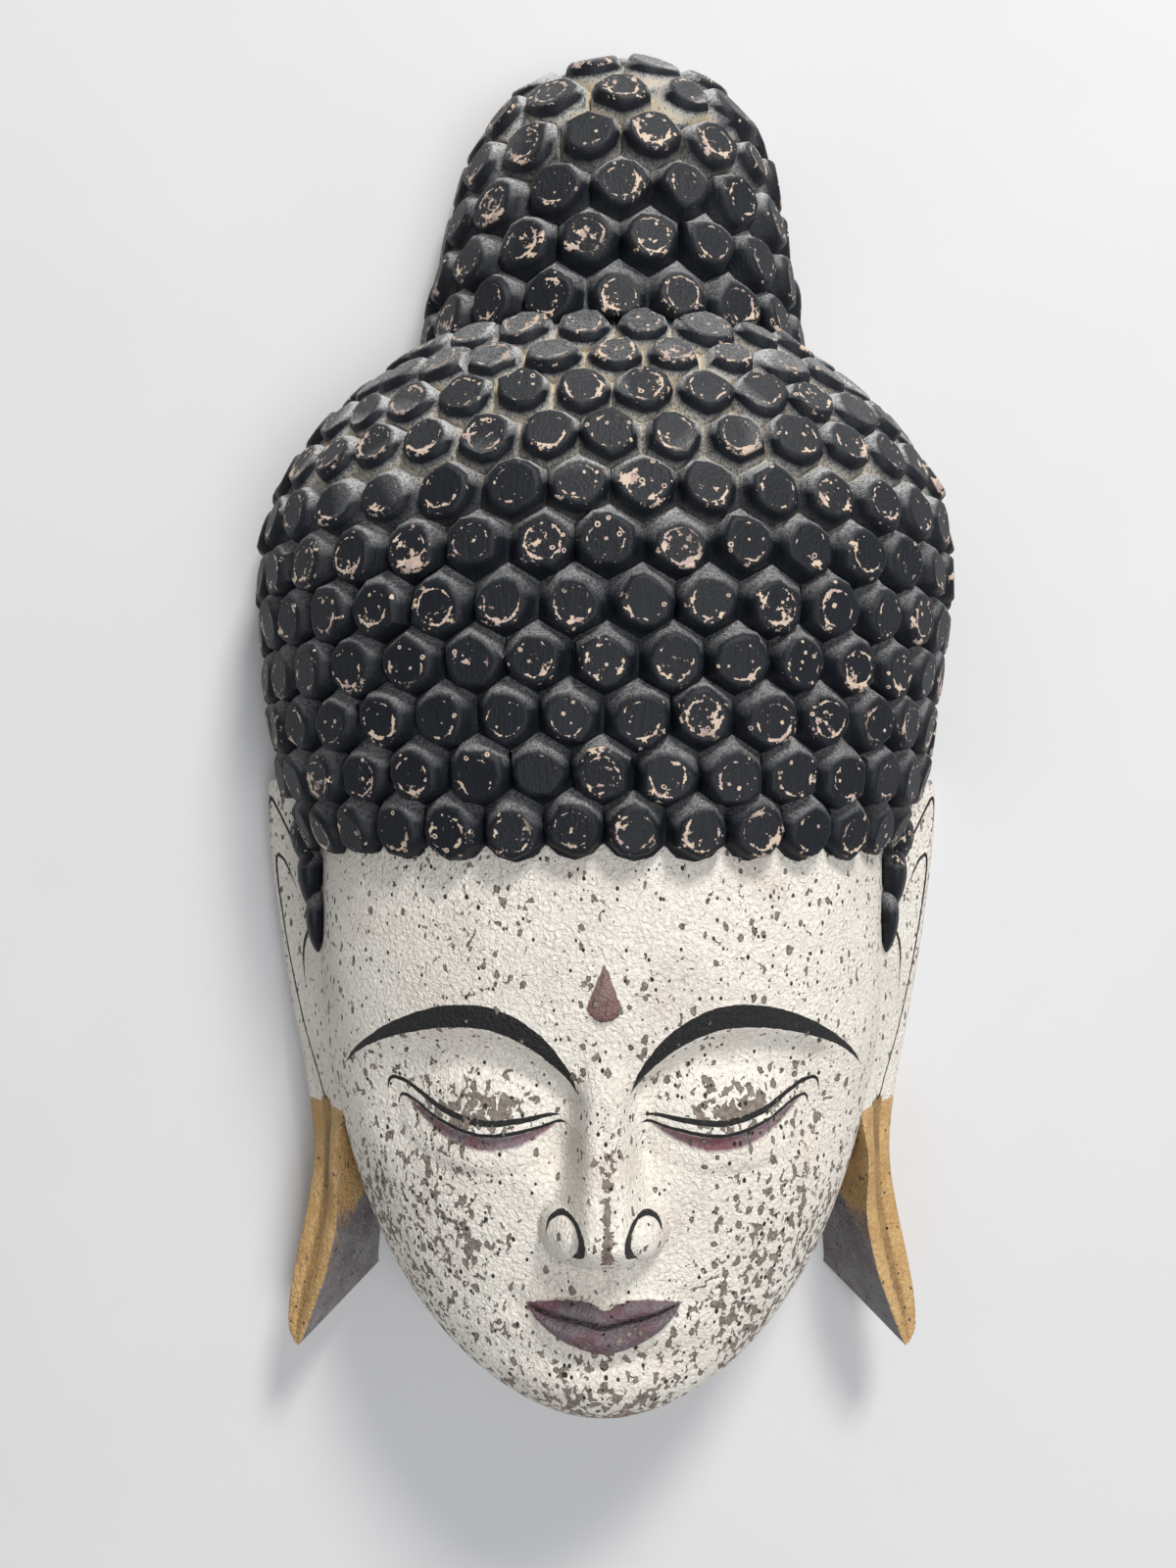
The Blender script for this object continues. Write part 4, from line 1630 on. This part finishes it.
@dataclass
class Back:
    """The flat back, the scoop that lightens the mask and the notch that a nail catches."""

    wall: float = 0.030
    hollow_depth: float = 0.088
    hollow_middle: float = 0.42
    hollow_share: float = 0.96
    hollow_taper: float = 0.10
    notch_width: float = 0.040
    notch_height: float = 0.016
    notch_depth: float = 0.015
    around: int = 96
    rings: int = 40
    gouge_width: float = 0.011
    gouge_depth: float = 0.0007

    def hollow(self, face: Face, hair: Hair, coats: Coats) -> tuple[bpy.types.Object, float]:
        """Makes the cutter for the scoop, dimpled as a gouge leaves it.

        Args:
            face: The face, which sets the scoop's width.
            hair: The hair, which sets its top.
            coats: The materials for every Coat.

        Returns:
            The cutter, and the height of its top.
        """
        low, high = self.wall, hair.skull[-2][0] * UNITS[1] - self.wall
        middle = self.hollow_middle * (low + high)
        widest = float(face.jaw_half_width(np.array(middle / UNITS[1]))) * UNITS[0]
        widest = widest * self.hollow_share - self.wall
        points = []
        for r in range(self.rings + 1):
            swing = r / self.rings * np.pi / 2
            for k in range(self.around):
                turn = 2 * np.pi * k / self.around
                up, side = np.sin(turn), np.cos(turn)
                y = middle + (high - middle if up > 0 else middle - low) * up * np.cos(swing)
                x = side * widest * np.cos(swing) * (1 - self.hollow_taper * max(0.0, -up))
                phase = 2 * np.pi / self.gouge_width
                cuts = np.cos(phase * x) * np.cos(phase * y / 3)
                points.append((x, y, np.sin(swing) * (self.hollow_depth - self.gouge_depth * (1 - cuts))))
        below = [(x, y, -BELOW_BACK * UNITS[2]) for x, y, z in points[: self.around]]
        faces = [*ring_faces(self.rings + 2, self.around), tuple(range(self.around))]
        return closed_object("hollow", np.array(below + points), faces, coats, Coat.WOOD), high

    def block(self, name: str, low: tuple, high: tuple, coats: Coats) -> bpy.types.Object:
        """Makes a plain block to cut with.

        Args:
            name: Its name.
            low: Its lowest corner.
            high: Its highest corner.
            coats: The materials for every Coat.

        Returns:
            The block.
        """
        corners = [(x, y, z) for x in (low[0], high[0]) for y in (low[1], high[1]) for z in (low[2], high[2])]
        faces = [(0, 1, 3, 2), (4, 6, 7, 5), (0, 4, 5, 1), (2, 3, 7, 6), (0, 2, 6, 4), (1, 5, 7, 3)]
        return closed_object(name, np.array(corners), faces, coats, Coat.WOOD)

    def cutters(self, face: Face, hair: Hair, coats: Coats) -> list[bpy.types.Object]:
        """Makes everything that cuts from behind: the scoop, the notch and all below the floor.

        Args:
            face: The face, which sets the scoop's width.
            hair: The hair, which sets its top.
            coats: The materials for every Coat.

        Returns:
            The cutters, the last of which is all below the floor.
        """
        hollow, top = self.hollow(face, hair, coats)
        notch = self.block(
            "notch",
            (-self.notch_width / 2, top - self.notch_height, -BELOW_BACK * UNITS[2]),
            (self.notch_width / 2, top + self.notch_height / 2, self.notch_depth),
            coats,
        )
        floor = self.block("below", (-WIDTH, -HEIGHT, -2 * DEPTH), (WIDTH, 2 * HEIGHT, 0.0), coats)
        return [hollow, notch, floor]


@dataclass
class Mask:
    """The whole mask: hair, face and ears, cut against each other so that nothing overlaps."""

    sharp_angle: float = 0.9
    margin: float = 0.00005

    def _materials(self) -> tuple[bpy.types.Material, ...]:
        """Makes every finish.

        Returns:
            The paint of the face, of the ears and of the hair, and the bare wood.
        """
        wood = BareWood().make()
        cream = ChalkPaint(
            "cream_chalk_paint",
            ("brow", "upper_lid", "lower_lid", "nostril"),
            (Tint("under_lid", "#81545a", "#857880", softness=2.2), Tint("lips", "#6c4a53", "#787076"),
             Tint("urna", "#7d5757", "#8c7970"), Tint("by_hair", "#17191c", "#1d1f22")),
        ).make()
        ear_paint = ChalkPaint(
            "cream_chalk_and_ochre_paint",
            ("helix", "scroll", "leaf"),
            (Tint("lobe", "#cfab75", "#bb9560", softness=1.2),
             Tint("groove", "#8c6c44", "#a48354", softness=2.2),
             Tint("primer", "#8b8a8c", "#776b6e", softness=1.2)),
        ).make()
        return cream, ear_paint, BlackPaint().make(), wood

    def build(self) -> list[bpy.types.Object]:
        """Carves and paints every piece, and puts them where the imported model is.

        Returns:
            The hair, the face and both ears.
        """
        cream, ear_paint, black, wood = self._materials()
        face, hair, back = Face(), Hair(), Back()
        cap = hair.build([black, wood])
        locks = SideLocks().build([black, wood])
        combine(cap, locks, Joining.ADD)
        core = face.build([cream, wood])
        whole = linked("whole_face", core.data.copy())
        cutters = back.cutters(face, hair, [black, wood])
        combine(core, [cap, *cutters], Joining.CUT)
        ears = []
        for side in Side:
            ear = Ear(side)
            shape = ear.build([ear_paint, wood])
            combine(shape, [whole, cap, cutters[-1]], Joining.CUT)
            ear.dress(shape.data)
            ears.append(shape)
        face.dress(core.data, cap)
        combine(cap, cutters, Joining.CUT)
        hair.dress(cap.data)
        for spare in (*locks, *cutters, whole):
            bpy.data.objects.remove(spare)
        pieces = [cap, core, *ears]
        self._place(pieces)
        return pieces

    def _place(self, pieces: list[bpy.types.Object]) -> None:
        """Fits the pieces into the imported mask's box and names what each stands for.

        Args:
            pieces: The finished pieces, still in the carving's own place.
        """
        places = np.vstack([mask_places(piece.data) * UNITS for piece in pieces])
        low, high = map(np.array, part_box("mask"))
        own_low, own_high = places.min(axis=0), places.max(axis=0)
        fit = np.minimum(1.0, (high - low - 2 * self.margin) / (own_high - own_low))
        own_foot = (own_low + own_high) / 2 * (1, 1, 0)
        foot = (low + high) / 2 * (1, 1, 0)
        for piece in pieces:
            moved = (mask_places(piece.data) * UNITS - own_foot) * fit + foot
            piece.data.vertices.foreach_set("co", moved.ravel())
            piece.data.shade_smooth()
            piece.data.set_sharp_from_angle(angle=self.sharp_angle)
            piece.data.update()
            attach(piece, "root")
            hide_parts("mask")
            log.info("%s: %d faces", piece.name, len(piece.data.polygons))


@dataclass
class Studio:
    """A pale floor, soft light from the upper right and a camera straight over the mask.

    Each lamp is (name, place, length of its side, watts, colour).
    """

    camera_place: tuple[float, float, float] = (-0.008, -0.034, 0.662)
    lens: float = 31.7
    sensor: float = 36.0
    floor_reach: float = 3.0
    floor_drop: float = 0.0005
    floor_colour: str = "#d9dadb"
    floor_shade: str = "#d3d4d6"
    sky_colour: str = "#ecedee"
    sky_strength: float = 0.34
    lamps: tuple = (
        ("key", (0.95, 2.45, 2.10), 0.72, 92.0, "#fffcf8"),
        ("fill", (0.9, -0.7, 2.8), 1.5, 44.0, "#f8f8fa"),
    )

    def build(self) -> None:
        """Makes the floor, the lights and the camera."""
        floor = bpy.data.meshes.new("floor")
        shape = bmesh.new()
        bmesh.ops.create_grid(shape, x_segments=8, y_segments=8, size=self.floor_reach)
        bmesh.ops.translate(shape, verts=shape.verts, vec=(0, 0, -self.floor_drop))
        shape.to_mesh(floor)
        shape.free()
        floor.materials.append(self._floor_paint())
        linked("floor", floor)

        for lamp in self.lamps:
            self._light(*lamp)
        world = bpy.data.worlds.new("pale_room")
        world.use_nodes = True
        g = Graph(world.node_tree)
        sky = g.add("ShaderNodeBackground", {"Color": linear(self.sky_colour), "Strength": self.sky_strength})
        g.add("ShaderNodeOutputWorld", {"Surface": sky})
        bpy.context.scene.world = world
        bpy.context.scene.view_settings.view_transform = "Standard"

        camera = bpy.data.cameras.new("camera")
        camera.lens = self.lens
        camera.sensor_width = self.sensor
        camera.clip_start = 0.01
        holder = linked("camera", camera)
        holder.location = self.camera_place
        bpy.context.scene.camera = holder

    def _floor_paint(self) -> bpy.types.Material:
        """Makes flat wall paint, nearly white, with the faint cloudiness of a roller.

        Returns:
            The material.
        """
        made, g = new_material("flat_wall_paint")
        place = g.add("ShaderNodeTexCoord", output="Object")
        cloud = g.add("ShaderNodeTexNoise", {"Vector": place, "Scale": 9.0, "Detail": 3.0})
        colour = g.add("ShaderNodeMix", {FACTOR: cloud, COLOUR_A: linear(self.floor_colour),
                                         COLOUR_B: linear(self.floor_shade)}, MIXED, data_type="RGBA")
        shader = g.add("ShaderNodeBsdfPrincipled", {"Base Color": colour, "Roughness": 0.8})
        g.add("ShaderNodeOutputMaterial", {"Surface": shader})
        return made

    def _light(
        self, name: str, place: tuple[float, float, float], size: float, power: float, colour: str
    ) -> None:
        """Adds a square light that faces the middle of the mask.

        Args:
            name: The light's name.
            place: Where it hangs.
            size: The length of its side.
            power: Its power in watts.
            colour: Its sRGB hex colour.
        """
        lamp = bpy.data.lights.new(name, "AREA")
        lamp.size = size
        lamp.energy = power
        lamp.color = linear(colour)[:3]
        holder = linked(name, lamp)
        holder.location = place
        holder.rotation_euler = Vector(place).to_track_quat("Z", "Y").to_euler()


def main() -> None:
    """Builds the mask and the studio around it."""
    logging.basicConfig(level=logging.INFO, format="%(name)s %(message)s")
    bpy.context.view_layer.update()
    Mask().build()
    Studio().build()


if __name__ == "__main__":
    main()
